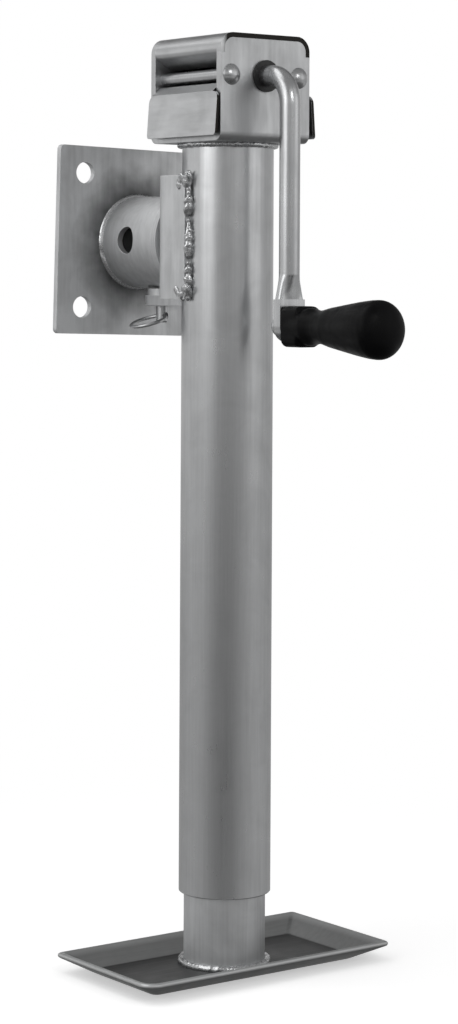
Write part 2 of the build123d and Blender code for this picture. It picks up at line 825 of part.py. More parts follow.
# Grip: an oblong base that narrows to a round neck and swells to a bulb
with BuildPart() as grip:
    grip_start = spade_front - grip_start_gap
    base_end = grip_start - grip_base_length
    with BuildSketch(along_y(grip_start)):
        with Locations((0, grip_z)):
            RectangleRounded(grip_base_width, grip_base_height, grip_base_corner)
    extrude(amount=grip_base_length)
    with BuildSketch(along_y(base_end)):
        with Locations((0, grip_z)):
            RectangleRounded(grip_base_width, grip_base_height, grip_base_corner)
    with BuildSketch(along_y(grip_neck_y)):
        with Locations((0, grip_z)):
            Circle(grip_neck_r)
    loft()
    with BuildSketch(grip_section):
        with BuildLine():
            Line((0, grip_neck_y), (grip_neck_r, grip_neck_y))
            Spline(
                (grip_neck_r, grip_neck_y),
                (grip_neck_r + 4.4, grip_neck_y - 19.5),
                (grip_bulb_r, grip_bulb_y),
                (grip_bulb_r - 2.6, grip_end_y + 5.0),
                (0, grip_end_y),
                tangents=((0.05, -1), (-1, 0)),
            )
            Line((0, grip_end_y), (0, grip_neck_y))
        make_face()
    revolve(axis=grip_axis)
    with BuildSketch(grip_section):
        with BuildLine():
            bore_r = pin_r + running_gap
            snap_r = neck_r + running_gap
            snap_back = grip_snap_y + grip_snap_width / 2 - end_gap
            snap_front = grip_snap_y - grip_snap_width / 2 + end_gap
            Polyline(
                (0, grip_start + 1),
                (bore_r, grip_start + 1),
                (bore_r, snap_back),
                (snap_r, snap_back),
                (snap_r, snap_front),
                (bore_r, snap_front),
                (bore_r, grip_pin_end - end_gap),
                (0, grip_pin_end - end_gap),
                close=True,
            )
        make_face()
    revolve(axis=grip_axis, mode=Mode.SUBTRACT)
write(grip.part, "grip")

# Inner tube with its nut, foot and weld
foot_floor = foot_sheet
with BuildPart() as inner_tube:
    with BuildSketch(Plane.XY.offset(foot_floor)):
        Circle(inner_r)
        Circle(inner_r - inner_tube_wall, mode=Mode.SUBTRACT)
    extrude(amount=inner_tube_top - foot_floor)
write(inner_tube.part, "inner_tube")

with BuildPart() as drive_nut:
    with BuildSketch(Plane.XY.offset(inner_tube_top)):
        Circle(inner_r - 0.2)
    extrude(amount=nut_flange)
    with BuildSketch(Plane.XY.offset(nut_bottom)):
        Circle(inner_r - inner_tube_wall)
    extrude(amount=nut_length - nut_flange)
    with BuildSketch(Plane.XY.offset(nut_bottom)):
        Circle(screw_d / 2 + running_gap)
    extrude(amount=nut_length, mode=Mode.SUBTRACT)
write(drive_nut.part, "drive_nut")

with BuildPart() as foot_plate:
    flare = (foot_length - foot_flat_length) / 2 / foot_rise
    flare_width = (foot_width - foot_flat_width) / 2 / foot_rise
    wall_rise = foot_sheet * sqrt(1 + 1 / flare_width**2)
    past = 2 * wall_rise
    loft_top = foot_rise + past
    top_length = foot_flat_length + 2 * flare * loft_top
    top_width = foot_flat_width + 2 * flare_width * loft_top
    top_corner = foot_flat_corner + (foot_corner - foot_flat_corner) * loft_top / foot_rise
    for mode, lift in ((Mode.ADD, 0.0), (Mode.SUBTRACT, wall_rise)):
        with BuildSketch(Plane.XY.offset(lift)):
            with Locations(foot_centre):
                RectangleRounded(foot_flat_length, foot_flat_width, foot_flat_corner)
        with BuildSketch(Plane.XY.offset(lift + loft_top)):
            with Locations(foot_centre):
                RectangleRounded(top_length, top_width, top_corner)
        loft(ruled=True, mode=mode)
    with BuildSketch(Plane.XY):
        with Locations(foot_centre):
            RectangleRounded(foot_length, foot_width, foot_corner)
    extrude(amount=loft_top, mode=Mode.INTERSECT)
    with BuildSketch(Plane.XY.offset(foot_sheet)):
        with Locations(foot_centre):
            RectangleRounded(foot_flat_length, foot_flat_width, foot_flat_corner)
    extrude(amount=loft_top, mode=Mode.SUBTRACT)
write(foot_plate.part, "foot_plate")

foot_plane = Plane.XY.offset(foot_floor)
write(bead_around(foot_plane, inner_r, foot_bead, foot_bead), "foot_weld")

# Swivel bracket: a channel whose arms reach round the tube to its middle, welded down both ends
with BuildPart() as swivel_bracket:
    with BuildSketch(Plane.XY.offset(bracket_bottom)):
        with BuildLine():
            FilletPolyline(
                (-bracket_side, bracket_arm_end),
                (-bracket_side, bracket_back),
                (bracket_side, bracket_back),
                (bracket_side, bracket_arm_end),
                radius=bracket_bend,
            )
            offset(amount=bracket_sheet, side=Side.RIGHT)
        make_face()
    extrude(amount=bracket_top - bracket_bottom)
write(swivel_bracket.part, "swivel_bracket")

with BuildPart() as bracket_weld:

    def on_tube(y):
        return (-sqrt(outer_r**2 - y**2), y)

    toe_y = bracket_arm_end - bracket_bead
    weld_edge = (-bracket_side + bracket_weld_back, bracket_arm_end)
    belly = (-outer_r - bracket_weld_belly[0], -bracket_weld_belly[1])
    with BuildSketch(Plane.XY.offset(bracket_bottom + bracket_weld_back)):
        with BuildLine():
            ThreePointArc(on_tube(bracket_arm_end), on_tube((bracket_arm_end + toe_y) / 2), on_tube(toe_y))
            ThreePointArc(on_tube(toe_y), belly, weld_edge)
            Line(weld_edge, on_tube(bracket_arm_end))
        make_face()
    extrude(amount=bracket_top - bracket_bottom - 2 * bracket_weld_back)
with BuildPart() as bracket_welds:
    add(bracket_weld.part)
    mirror(bracket_weld.part, about=Plane.YZ)
write(bracket_welds.part, "bracket_welds")

# Hub, thrust washer and retaining ring
lock_hole_radius = lock_hole_d / 2
with BuildPart() as pivot_hub:
    with BuildSketch(swivel_plane(bracket_back)):
        Circle(hub_r)
        Circle(hub_r - hub_wall, mode=Mode.SUBTRACT)
    extrude(amount=hub_end - bracket_back)
    with BuildSketch(swivel_plane(ring_start)):
        Circle(hub_r)
        Circle(hub_r - ring_depth, mode=Mode.SUBTRACT)
    extrude(amount=ring_sheet, mode=Mode.SUBTRACT)
    with BuildSketch(Plane.XY.offset(pivot_z)):
        with Locations((0, lock_hole_y)):
            Circle(lock_hole_radius)
    extrude(amount=-drum_r, mode=Mode.SUBTRACT)
write(pivot_hub.part, "pivot_hub")

write(
    ring_at(swivel_plane(bracket_back), thrust_washer_d / 2, hub_r, thrust_washer_sheet),
    "thrust_washer",
)

with BuildPart() as retaining_ring:
    with BuildSketch(swivel_plane(ring_start)):
        Circle(ring_r)
        Circle(hub_r - ring_depth, mode=Mode.SUBTRACT)
        with Locations((0, ring_r)):
            Rectangle(ring_mouth, ring_r, mode=Mode.SUBTRACT)
    extrude(amount=ring_sheet)
write(retaining_ring.part, "retaining_ring")

# Drum that turns on the hub, with four lock holes, and the plate that it is welded to
with BuildPart() as pivot_drum:
    with BuildSketch(mount_plane(drum_start)):
        Circle(drum_r)
        Circle(drum_bore_r, mode=Mode.SUBTRACT)
    extrude(amount=plate_front - drum_start)
    turned = mount_plane(lock_hole_y)
    for across in (turned.x_dir, turned.y_dir):
        with BuildSketch(Plane(origin=turned.origin, x_dir=(0, 1, 0), z_dir=across)):
            Circle(lock_hole_radius)
        extrude(amount=drum_od, both=True, mode=Mode.SUBTRACT)
write(pivot_drum.part, "pivot_drum")

with BuildPart() as mount_plate:
    with BuildSketch(mount_plane(plate_front)):
        RectangleRounded(plate_width, plate_height, plate_corner)
        Circle(plate_centre_hole_r, mode=Mode.SUBTRACT)
        with GridLocations(bolt_spacing, bolt_spacing, 2, 2):
            Circle(bolt_hole_d / 2, mode=Mode.SUBTRACT)
    extrude(amount=plate_sheet)
write(mount_plate.part, "mount_plate")

drum_weld_plane = Plane(origin=(0, plate_front, pivot_z), x_dir=(1, 0, 0), z_dir=(0, -1, 0))
write(bead_around(drum_weld_plane, drum_r, drum_bead, drum_bead), "drum_weld")

# Lug under the drum, round at its end, the barrel that it holds, and the spring pin in the barrel
with BuildPart() as lock_lug:
    with BuildSketch(Plane.XY.offset(lug_bottom)):
        with Locations((0, (bracket_back + lock_hole_y) / 2)):
            Rectangle(lug_width, lock_hole_y - bracket_back)
        with Locations((0, lock_hole_y)):
            Circle(lug_width / 2)
            Circle(barrel_od / 2, mode=Mode.SUBTRACT)
    extrude(amount=lug_sheet)
write(lock_lug.part, "lock_lug")

with BuildPart() as lock_barrel:
    with BuildSketch(Plane.XY.offset(barrel_bottom)):
        with Locations((0, lock_hole_y)):
            Circle(barrel_od / 2)
            Circle(lock_stem_d / 2 + running_gap, mode=Mode.SUBTRACT)
    extrude(amount=barrel_top - barrel_bottom)
    with BuildSketch(Plane.XY.offset(spring_seat)):
        with Locations((0, lock_hole_y)):
            Circle(lock_pin_d / 2 + running_gap)
    extrude(amount=barrel_top - spring_seat, mode=Mode.SUBTRACT)
write(lock_barrel.part, "lock_barrel")

with BuildPart() as lock_pin:
    with BuildSketch(Plane(origin=(0, lock_hole_y, 0), x_dir=(1, 0, 0), z_dir=(0, -1, 0))):
        with BuildLine():
            Polyline(
                (0, lock_stem_end),
                (lock_stem_d / 2 - 1, lock_stem_end),
                (lock_stem_d / 2, lock_stem_end + 1),
                (lock_stem_d / 2, lock_head_bottom),
                (lock_pin_d / 2, lock_head_bottom),
                (lock_pin_d / 2, lock_pin_tip - 1.5),
                (lock_pin_d / 2 - 1.5, lock_pin_tip),
                (0, lock_pin_tip),
                close=True,
            )
        make_face()
    revolve(axis=Axis((0, lock_hole_y, 0), (0, 0, 1)))
    with BuildSketch(Plane(origin=(0, lock_hole_y, pull_ring_z), x_dir=(1, 0, 0), z_dir=(0, 1, 0))):
        Circle(pull_ring_hole_d / 2)
    extrude(amount=lock_pin_d, both=True, mode=Mode.SUBTRACT)
write(lock_pin.part, "lock_pin")

with BuildPart() as lock_spring:
    spring_low = spring_seat + lock_spring_wire / 2 + 0.02
    spring_high = lock_head_bottom - lock_spring_wire / 2 - 0.02
    coil_r = lock_spring_d / 2
    with BuildLine() as spring_line:
        Helix(
            pitch=(spring_high - spring_low) / lock_spring_turns,
            height=spring_high - spring_low,
            radius=coil_r,
            center=(0, lock_hole_y, spring_low),
        )
    with BuildSketch(Plane(origin=spring_line.line @ 0, z_dir=spring_line.line % 0)):
        Circle(lock_spring_wire / 2)
    sweep(path=spring_line.line, is_frenet=True)
write(lock_spring.part, "lock_spring")

with BuildPart() as pull_ring:
    slope = radians(pull_ring_slope)
    ring_middle = (-pull_ring_r * cos(slope), lock_hole_y, pull_ring_z - pull_ring_r * sin(slope))
    ring_face = Plane(origin=ring_middle, x_dir=(0, 1, 0), z_dir=(-sin(slope), 0, cos(slope)))
    with Locations(ring_face):
        Torus(pull_ring_r, pull_ring_wire / 2)
write(pull_ring.part, "pull_ring")
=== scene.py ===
"""Finishes, weld beads and studio for a side-wind swivel jack stand.

Metres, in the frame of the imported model: z = 0 is the ground, the tubes stand on the Z axis,
-Y is the crank's side and +Y the side of the square mounting plate.
"""

from math import atan2, cos, pi, radians, sin, tan, tau
from random import Random

import bmesh
import bpy
from bpy.props import FloatProperty, FloatVectorProperty, IntProperty, PointerProperty
from mathutils import Matrix, Vector


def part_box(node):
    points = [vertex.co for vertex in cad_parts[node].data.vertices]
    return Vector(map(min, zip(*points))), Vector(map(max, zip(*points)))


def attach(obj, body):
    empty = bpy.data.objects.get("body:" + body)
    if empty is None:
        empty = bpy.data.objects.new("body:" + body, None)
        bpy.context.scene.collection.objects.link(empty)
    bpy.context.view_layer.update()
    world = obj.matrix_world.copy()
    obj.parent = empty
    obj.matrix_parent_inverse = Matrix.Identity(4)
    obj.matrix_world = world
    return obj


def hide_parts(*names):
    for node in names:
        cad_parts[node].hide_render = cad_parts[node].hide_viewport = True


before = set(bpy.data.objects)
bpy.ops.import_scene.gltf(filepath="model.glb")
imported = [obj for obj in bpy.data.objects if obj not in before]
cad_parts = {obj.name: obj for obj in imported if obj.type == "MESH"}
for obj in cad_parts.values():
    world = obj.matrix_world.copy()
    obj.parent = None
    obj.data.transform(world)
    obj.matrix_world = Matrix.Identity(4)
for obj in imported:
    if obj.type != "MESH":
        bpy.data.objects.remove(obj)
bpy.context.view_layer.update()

bl_info = {
    "name": "Jack stand finishes",
    "version": (1, 0, 0),
    "blender": (4, 5, 0),
    "location": "3D View > Sidebar > Jack Stand",
    "description": "Plated steel, weld metal and moulded plastic for a swivel jack stand, with its studio",
    "category": "Object",
}

MM = 0.001

# Metres along X, further left than any piece reaches.
LEFT_OF_ALL = -1.0


def linear(hex_colour):
    """The linear RGBA of an sRGB hex colour."""
    channels = [int(hex_colour[i : i + 2], 16) / 255 for i in (0, 2, 4)]
    curve = [c / 12.92 if c <= 0.04045 else ((c + 0.055) / 1.055) ** 2.4 for c in channels]
    return (*curve, 1.0)


def colour_property(name, description, hex_colour):
    """A colour that the user can change, with its default as sRGB hex."""
    return FloatVectorProperty(
        name=name,
        description=description,
        subtype="COLOR",
        size=4,
        min=0.0,
        max=1.0,
        default=linear(hex_colour),
    )


def length_property(name, description, millimetres):
    """A length that the user can change, with its default in millimetres."""
    return FloatProperty(name=name, description=description, unit="LENGTH", default=millimetres * MM)


def share_property(name, description, default):
    """A share from nought to one that the user can change."""
    return FloatProperty(
        name=name,
        description=description,
        default=default,
        min=0.0,
        max=1.0,
        subtype="FACTOR",
    )


def power_property(name, description, watts):
    """A lamp's power that the user can change."""
    return FloatProperty(name=name, description=description, unit="POWER", default=watts)


class FinishSettings(bpy.types.PropertyGroup):
    """Colours and grain sizes of the surfaces."""

    tube_zinc: colour_property("Tube zinc", "Zinc plate on the drawn tubes", "C4C5C6")
    plate_zinc: colour_property("Plate zinc", "Zinc plate on the pressed and cut plates", "BEBFC0")
    weldment_zinc: colour_property("Weldment zinc", "Duller zinc on the welded swivel", "D4D5D6")
    # The sheared edges' colour: partly bare steel, partly painted shade.
    cut_edge_and_shade: colour_property("Cut edge", "Bare sheared edge of galvanised sheet", "2A2927")
    foot_zinc: colour_property("Foot zinc", "Dull dark zinc on the foot", "A8A9A9")
    weld_metal: colour_property("Weld metal", "Plated weld bead", "CCCDCE")
    bright_bar: colour_property("Bright bar", "Zinc plate on drawn bar", "C2C3C4")
    gear_steel: colour_property("Gear steel", "Machined steel under a film of grease", "4A4844")
    race_steel: colour_property("Race steel", "Ground bearing steel", "B9BBBD")
    # Black partly as graphite grease, partly as painted shade seen through the lock hole.
    hub_grease_and_shade: colour_property("Hub grease", "Graphite grease on the swivel's hub", "050505")
    bushing_black: colour_property("Bushing black", "Oil-filled bushing", "161616")
    grip_black: colour_property("Grip black", "Moulded grip", "070708")

    streak_width: length_property("Streak width", "Width of the drawing streaks on the tubes", 2.2)
    streak_length: length_property("Streak length", "Length of the drawing streaks", 70.0)
    cloud_size: length_property("Cloud size", "Size of the soft patches in the zinc", 24.0)
    speckle_size: length_property("Speckle size", "Grain of the plated surface", 0.9)
    edge_radius: length_property("Edge radius", "Rounding that the eye sees on cut edges", 0.45)
    spark_grain: length_property("Spark grain", "Grain of the mould's eroded skin", 0.55)
    # Left of this place the strap's edges are not darkened: a painted highlight where light catches the
    # corner.
    lit_corner: length_property("Rubbed corner", "Where the strap's rubbed corner ends along X", -31.0)
    # The dark ring round the drum is partly a heat stain and partly a painted shadow of the drum.
    stain_shadow_start: length_property("Stain start", "From the drum to where its stain starts to fade", 7.0)
    stain_shadow_end: length_property("Stain end", "From the drum to where the stain has gone", 31.0)
    stain_shadow_waves: length_property("Stain waves", "Size of the waves in the stain's edge", 14.0)
    stain_shadow_wander: length_property("Stain wander", "How far the waves pull that edge in", 16.0)


class BeadSettings(bpy.types.PropertyGroup):
    """Sizes of the weld beads."""

    pitch: length_property("Puddle pitch", "Distance from one weld puddle to the next", 2.4)
    unevenness: share_property("Unevenness", "How much the puddles differ in size and place", 0.28)
    skips: share_property("Skips", "Share of the puddles beside the bracket that are missing", 0.08)
    end_puddles: IntProperty(name="End puddles", description="Puddles heaped at a bead's end", default=8)
    skin: length_property("Skin size", "Size of the faces of a bead's skin", 0.45)
    seed: IntProperty(name="Seed", description="Which of the uneven beads is laid", default=7)


class FootSettings(bpy.types.PropertyGroup):
    """Sizes of the pressed foot, whose rim is as long and wide as the CAD foot."""

    floor_length: length_property("Floor length", "Length of the flat floor", 149.0)
    floor_width: length_property("Floor width", "Width of the flat floor", 62.0)
    floor_corner: length_property("Floor corner", "Corner radius of the floor", 4.0)
    rim_corner: length_property("Rim corner", "Corner radius of the rim", 2.2)
    near_corner: length_property("Near corner", "Radius of the rim's rounder corner", 9.0)
    rim_top: length_property("Rim top", "Height of the rim above the ground", 12.4)
    sheet: length_property("Sheet", "Thickness of the sheet", 3.4)
    fold: length_property("Fold", "Radius of the fold between the floor and a wall", 8.0)
    middle: FloatVectorProperty(
        name="Middle",
        description="Middle of the foot's underside",
        subtype="TRANSLATION",
        default=(0.0, -0.4 * MM, 0.0),
    )


class GripSettings(bpy.types.PropertyGroup):
    """Sizes of the moulded grip, a block that narrows to a neck and swells to a round end."""

    block_length: length_property("Block length", "Length of the block at the crank", 14.5)
    block_width: length_property("Block width", "Width of the block", 19.6)
    block_height: length_property("Block height", "Height of the block", 24.8)
    block_corner: length_property("Block corner", "Corner radius of the block", 5.0)
    neck_y: length_property("Neck", "Place of the neck along Y", -94.0)
    neck_r: length_property("Neck radius", "Radius of the neck", 10.0)
    end_start: length_property("End start", "Where the round end starts along Y", -147.5)
    end_r: length_property("End radius", "Radius of the thick end", 17.5)
    sag: length_property("Sag", "How far the thick end hangs below the axis", 0.8)
    skin: length_property("Skin size", "Size of the faces of the moulded skin", 0.8)


class StudioSettings(bpy.types.PropertyGroup):
    """Camera, floor and lamps."""

    lens: FloatProperty(name="Lens", description="Focal length, 36 mm side", default=93.7, unit="CAMERA")
    distance: length_property("Distance", "From the camera to the tube's axis, on the ground", 1662.8)
    eye_height: length_property("Eye height", "Height of the level camera", 428.6)
    beside_axis: length_property("Beside axis", "How far the tube stands left of the view's middle", 0.964)
    turn: FloatProperty(
        name="Turn",
        description="How far the camera stands left of the crank's side",
        default=radians(36.77),
        unit="ROTATION",
    )
    roll: FloatProperty(name="Roll", description="Lean of the camera", default=0.005, unit="ROTATION")
    shift: FloatProperty(name="Shift", description="Rise of the horizon in the frame", default=-0.2274)
    floor_size: length_property("Floor size", "Side of the square paper floor", 2400.0)
    paper: colour_property("Paper", "White paper of the floor", "E6E6E6")
    paper_lift: share_property("Paper lift", "White that the camera adds to the paper", 0.42)
    key_power: power_property("Key lamp", "Tall soft lamp on the left", 4.4)
    fill_power: power_property("Fill lamp", "Weak soft lamp on the right", 1.6)
    top_power: power_property("Top lamp", "Soft lamp above", 6.0)
    glint_power: power_property("Glint lamp", "Small lamp for glints on the rivets' heads", 2.4)


def feed(node, inputs):
    """Sets a node's sockets, each to a value, an output, or a node's first output in use."""
    for socket, value in inputs.items():
        if isinstance(value, bpy.types.Node):
            value = next(output for output in value.outputs if output.enabled)
        if isinstance(value, bpy.types.NodeSocket):
            node.id_data.links.new(value, node.inputs[socket])
        else:
            node.inputs[socket].default_value = value


def add_node(tree, kind, inputs=None, **settings):
    """Adds a node, with settings for its own properties and inputs for its sockets."""
    made = tree.nodes.new(kind)
    for name, value in settings.items():
        setattr(made, name, value)
    feed(made, inputs or {})
    return made


def new_finish(colour, metallic, roughness):
    """A material with its surface shader, and the place on the piece that its patterns read."""
    material = bpy.data.materials.new("finish")
    material.use_nodes = True
    tree = material.node_tree
    tree.nodes.clear()
    surface = {"Base Color": colour, "Metallic": metallic, "Roughness": roughness}
    shader = add_node(tree, "ShaderNodeBsdfPrincipled", surface)
    add_node(tree, "ShaderNodeOutputMaterial", {"Surface": shader})
    place = add_node(tree, "ShaderNodeTexCoord")
    return material, tree, shader, place


def shade(colour, factor):
    """A colour made lighter or darker by a factor."""
    return (*[min(1.0, c * factor) for c in colour[:3]], 1.0)


def fade(tree, first, second, value, start, end, course="LINEAR"):
    """A colour that turns from the first into the second while a value goes from start to end."""
    share = add_node(
        tree,
        "ShaderNodeMapRange",
        {"Value": value, "From Min": start, "From Max": end},
        interpolation_type=course,
    )
    return add_node(tree, "ShaderNodeMix", {"Factor": share, "A": first, "B": second}, data_type="RGBA")


def plated_metal(finish, colour, grain_size, shiny, dull, edge_light):
    """Zinc plate: clouds of duller metal, a fine speckle, and lighter edges, partly polished by handling
    and partly a painted highlight where a rounded edge catches the light.

    grain_size is the grain's size along X, Y and Z, shiny and dull the roughness of its brightest and
    dullest patches, and edge_light how much lighter the edges are. Returns what new_finish returns,
    and the node of the colour.
    """
    material, tree, shader, place = new_finish(colour, 1.0, dull)
    spot = place.outputs["Object"]
    soft = {"Vector": spot, "Scale": 1 / finish.cloud_size, "Detail": 4.0, "Roughness": 0.55}
    clouds = add_node(tree, "ShaderNodeTexNoise", {**soft, "Distortion": 0.6})
    across_grain = tuple(1 / size for size in grain_size)
    stretched = add_node(tree, "ShaderNodeMapping", {"Vector": spot, "Scale": across_grain})
    grain = add_node(
        tree,
        "ShaderNodeTexNoise",
        {"Vector": stretched, "Scale": 1.0, "Detail": 3.0, "Roughness": 0.6},
    )
    speckle = add_node(
        tree,
        "ShaderNodeTexNoise",
        {"Vector": spot, "Scale": 1 / finish.speckle_size, "Detail": 2.0},
    )
    patches = add_node(tree, "ShaderNodeMix", {"Factor": 0.45, "A": clouds, "B": grain}, data_type="FLOAT")
    dullest, brightest = 0.36, 0.64
    tone = fade(tree, shade(colour, 0.90), shade(colour, 1.10), patches, dullest, brightest)
    dullness = add_node(
        tree,
        "ShaderNodeMapRange",
        {"Value": patches, "From Min": dullest, "From Max": brightest, "To Min": dull, "To Max": shiny},
    )
    rounded = add_node(tree, "ShaderNodeBevel", {"Radius": finish.edge_radius}, samples=4)
    flat = add_node(tree, "ShaderNodeNewGeometry").outputs["Normal"]
    bend = add_node(tree, "ShaderNodeVectorMath", {0: rounded, 1: flat}, operation="DOT_PRODUCT")
    # The edges are painted lighter by edge_light: partly wear from handling, partly a painted highlight.
    worn_and_lit_edges = fade(tree, tone, shade(colour, edge_light), bend, 0.995, 0.90)
    drawn = add_node(
        tree,
        "ShaderNodeBump",
        {"Strength": 0.35, "Distance": 0.03 * MM, "Height": grain, "Normal": rounded},
    )
    relief = add_node(
        tree,
        "ShaderNodeBump",
        {"Strength": 0.16, "Distance": 0.02 * MM, "Height": speckle, "Normal": drawn},
    )
    feed(shader, {"Base Color": worn_and_lit_edges, "Roughness": dullness, "Normal": relief})
    return material, tree, shader, place, worn_and_lit_edges


def upright_grain(finish, width, length):
    """The grain's size along X, Y and Z on upright metal, as shares of the tubes' streaks."""
    return (finish.streak_width * width, finish.streak_width * width, finish.streak_length * length)


def zinc_plated_drawn_tube(finish):
    """Bright zinc on cold drawn tube. The die leaves long soft streaks, and the plate dries in clouds."""
    grain = upright_grain(finish, 1.0, 1.0)
    return plated_metal(finish, finish.tube_zinc, grain, shiny=0.27, dull=0.35, edge_light=1.15)[0]


def zinc_plated_sliding_tube(finish):
    """The same zinc on the inner tube, duller and more even from sliding in the outer one."""
    colour = shade(finish.tube_zinc, 1.06)
    grain = upright_grain(finish, 1.0, 1.0)
    return plated_metal(finish, colour, grain, shiny=0.48, dull=0.56, edge_light=1.15)[0]


def zinc_plated_rolled_plate(finish):
    """Bright zinc on hot rolled plate. The rolls leave a faint upright grain, and cut edges shine."""
    grain = upright_grain(finish, 1.8, 0.6)
    return plated_metal(finish, finish.plate_zinc, grain, shiny=0.34, dull=0.48, edge_light=1.35)[0]


def zinc_plated_weldment(finish):
    """The same plate after welding and a long zinc bath: paler, with a duller, more even face."""
    return welded_plate(finish)[0]


def zinc_plated_plate_stain_and_shadow(finish):
    """The weldment's zinc on the mounting plate, darkened round the drum: partly a heat stain from the
    weld, partly a painted shadow of the drum.
    """
    material, tree, shader, place, clean = welded_plate(finish)
    low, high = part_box("pivot_drum")
    drum_middle = (low + high) / 2
    drum_radius = (high.x - low.x) / 2
    spot = place.outputs["Object"]
    from_drum = add_node(
        tree,
        "ShaderNodeMapping",
        {"Vector": spot, "Location": (-drum_middle.x, 0.0, -drum_middle.z), "Scale": (1.0, 0.0, 1.0)},
    )
    away = add_node(tree, "ShaderNodeVectorMath", {0: from_drum}, operation="LENGTH")
    waves = add_node(
        tree,
        "ShaderNodeTexNoise",
        {"Vector": spot, "Scale": 1 / finish.stain_shadow_waves, "Detail": 3.0},
    )
    wander = add_node(
        tree,
        "ShaderNodeMath",
        {0: waves, 1: finish.stain_shadow_wander, 2: away},
        operation="MULTIPLY_ADD",
    )
    inner = drum_radius + finish.stain_shadow_start
    outer = drum_radius + finish.stain_shadow_end
    stain_and_shadow = add_node(
        tree,
        "ShaderNodeMapRange",
        {"Value": wander, "From Min": inner, "From Max": outer, "To Min": 1.0, "To Max": 0.0},
    )
    normal = add_node(tree, "ShaderNodeSeparateXYZ", {"Vector": place.outputs["Normal"]})
    welded_side = add_node(
        tree,
        "ShaderNodeMapRange",
        {"Value": normal.outputs["Y"], "From Min": -0.5, "From Max": 0.5, "To Min": 1.0, "To Max": 0.35},
    )
    shown = add_node(tree, "ShaderNodeMath", {0: stain_and_shadow, 1: welded_side}, operation="MULTIPLY")
    # Painted shadow: the plate darkens to 0.17 of its zinc round the drum, partly heat stain, weaker on
    # the back.
    soot_and_shadow = shade(finish.weldment_zinc, 0.17)
    scorched_and_shaded = add_node(tree, "ShaderNodeMix", {"Factor": shown, "A": clean, "B": soot_and_shadow}, data_type="RGBA")
    feed(shader, {"Base Color": scorched_and_shaded})
    return material


def welded_plate(finish):
    """Dull pale zinc on welded plate. Returns what plated_metal returns."""
    grain = upright_grain(finish, 1.8, 0.6)
    return plated_metal(finish, finish.weldment_zinc, grain, shiny=0.54, dull=0.66, edge_light=1.3)


def galvanised_sheet_bare_shaded_edges(finish):
    """Sheet galvanised before it was cut, so its faces are bright and its sheared edges dark: partly bare
    steel, partly painted shade.
    """
    return galvanised_sheet(finish, LEFT_OF_ALL)


def galvanised_strap_lit_corner(finish):
    """The same sheet bent to a strap, whose edges stay bright at the left corner as a painted highlight
    where the light catches it.
    """
    return galvanised_sheet(finish, finish.lit_corner)


def galvanised_sheet(finish, lit_left_of):
    """Galvanised sheet whose sheared edges are dark, partly bare steel and partly painted shade, apart
    from what lies left of a place along X, which keeps a painted highlight.
    """
    grain = (finish.streak_length * 0.4, finish.streak_length * 0.4, finish.streak_width * 2.0)
    material, tree, shader, place, face = plated_metal(
        finish, finish.plate_zinc, grain, shiny=0.30, dull=0.42, edge_light=1.2
    )
    normal = add_node(tree, "ShaderNodeSeparateXYZ", {"Vector": place.outputs["Normal"]})
    facing = add_node(tree, "ShaderNodeMath", {0: normal.outputs["Y"]}, operation="ABSOLUTE")
    sheared = add_node(tree, "ShaderNodeMapRange", {"Value": facing, "From Min": 0.80, "From Max": 0.92})
    where = add_node(tree, "ShaderNodeSeparateXYZ", {"Vector": place.outputs["Object"]})
    blur = 1.5 * MM
    unlit_edges = add_node(
        tree,
        "ShaderNodeMapRange",
        {
            "Value": where.outputs["X"],
            "From Min": lit_left_of - blur,
            "From Max": lit_left_of + blur,
        },
    )
    # Sheared edges are darkened, partly bare steel and partly painted shade; left of the given place they
    # stay bright.
    dark = add_node(tree, "ShaderNodeMath", {0: sheared, 1: unlit_edges}, operation="MULTIPLY")
    bare_and_shaded = add_node(
        tree,
        "ShaderNodeMix",
        {"Factor": dark, "A": face, "B": finish.cut_edge_and_shade},
        data_type="RGBA",
    )
    feed(shader, {"Base Color": bare_and_shaded})
    return material


def dull_zinc_pressing(finish):
    """Dull zinc on a deep pressing. Its floor, where it faces up, is painted darker as shade, and its rim
    painted lighter as a highlight.
    """
    colour = finish.foot_zinc
    grain = (finish.streak_length * 0.5, finish.streak_width * 1.5, finish.streak_width * 1.5)
    material, tree, shader, place, walls = plated_metal(
        finish, colour, grain, shiny=0.40, dull=0.52, edge_light=2.2
    )
    normal = add_node(tree, "ShaderNodeSeparateXYZ", {"Vector": place.outputs["Normal"]})
    where = add_node(tree, "ShaderNodeSeparateXYZ", {"Vector": place.outputs["Object"]})
    # Painted shade on the faces that look up, the floor, and a painted highlight on the rim from 9.5 mm
    # up.
    floor = fade(tree, walls, shade(colour, 0.30), normal.outputs["Z"], 0.93, 0.99)
    rim = fade(tree, floor, shade(colour, 1.5), where.outputs["Z"], 9.5 * MM, 11.5 * MM)
    feed(shader, {"Base Color": rim})
    return material


def plated_weld_metal(finish):
    """Hand laid weld metal under zinc: bright crests, sooty hollows and a pitted skin."""
    return weld_metal(finish, hollow_tone=0.58, pit_depth=0.12 * MM)


def plated_machine_weld(finish):
    """Weld metal laid by a machine, under zinc: smooth and even, with faint dull spots."""
    return weld_metal(finish, hollow_tone=0.80, pit_depth=0.04 * MM)


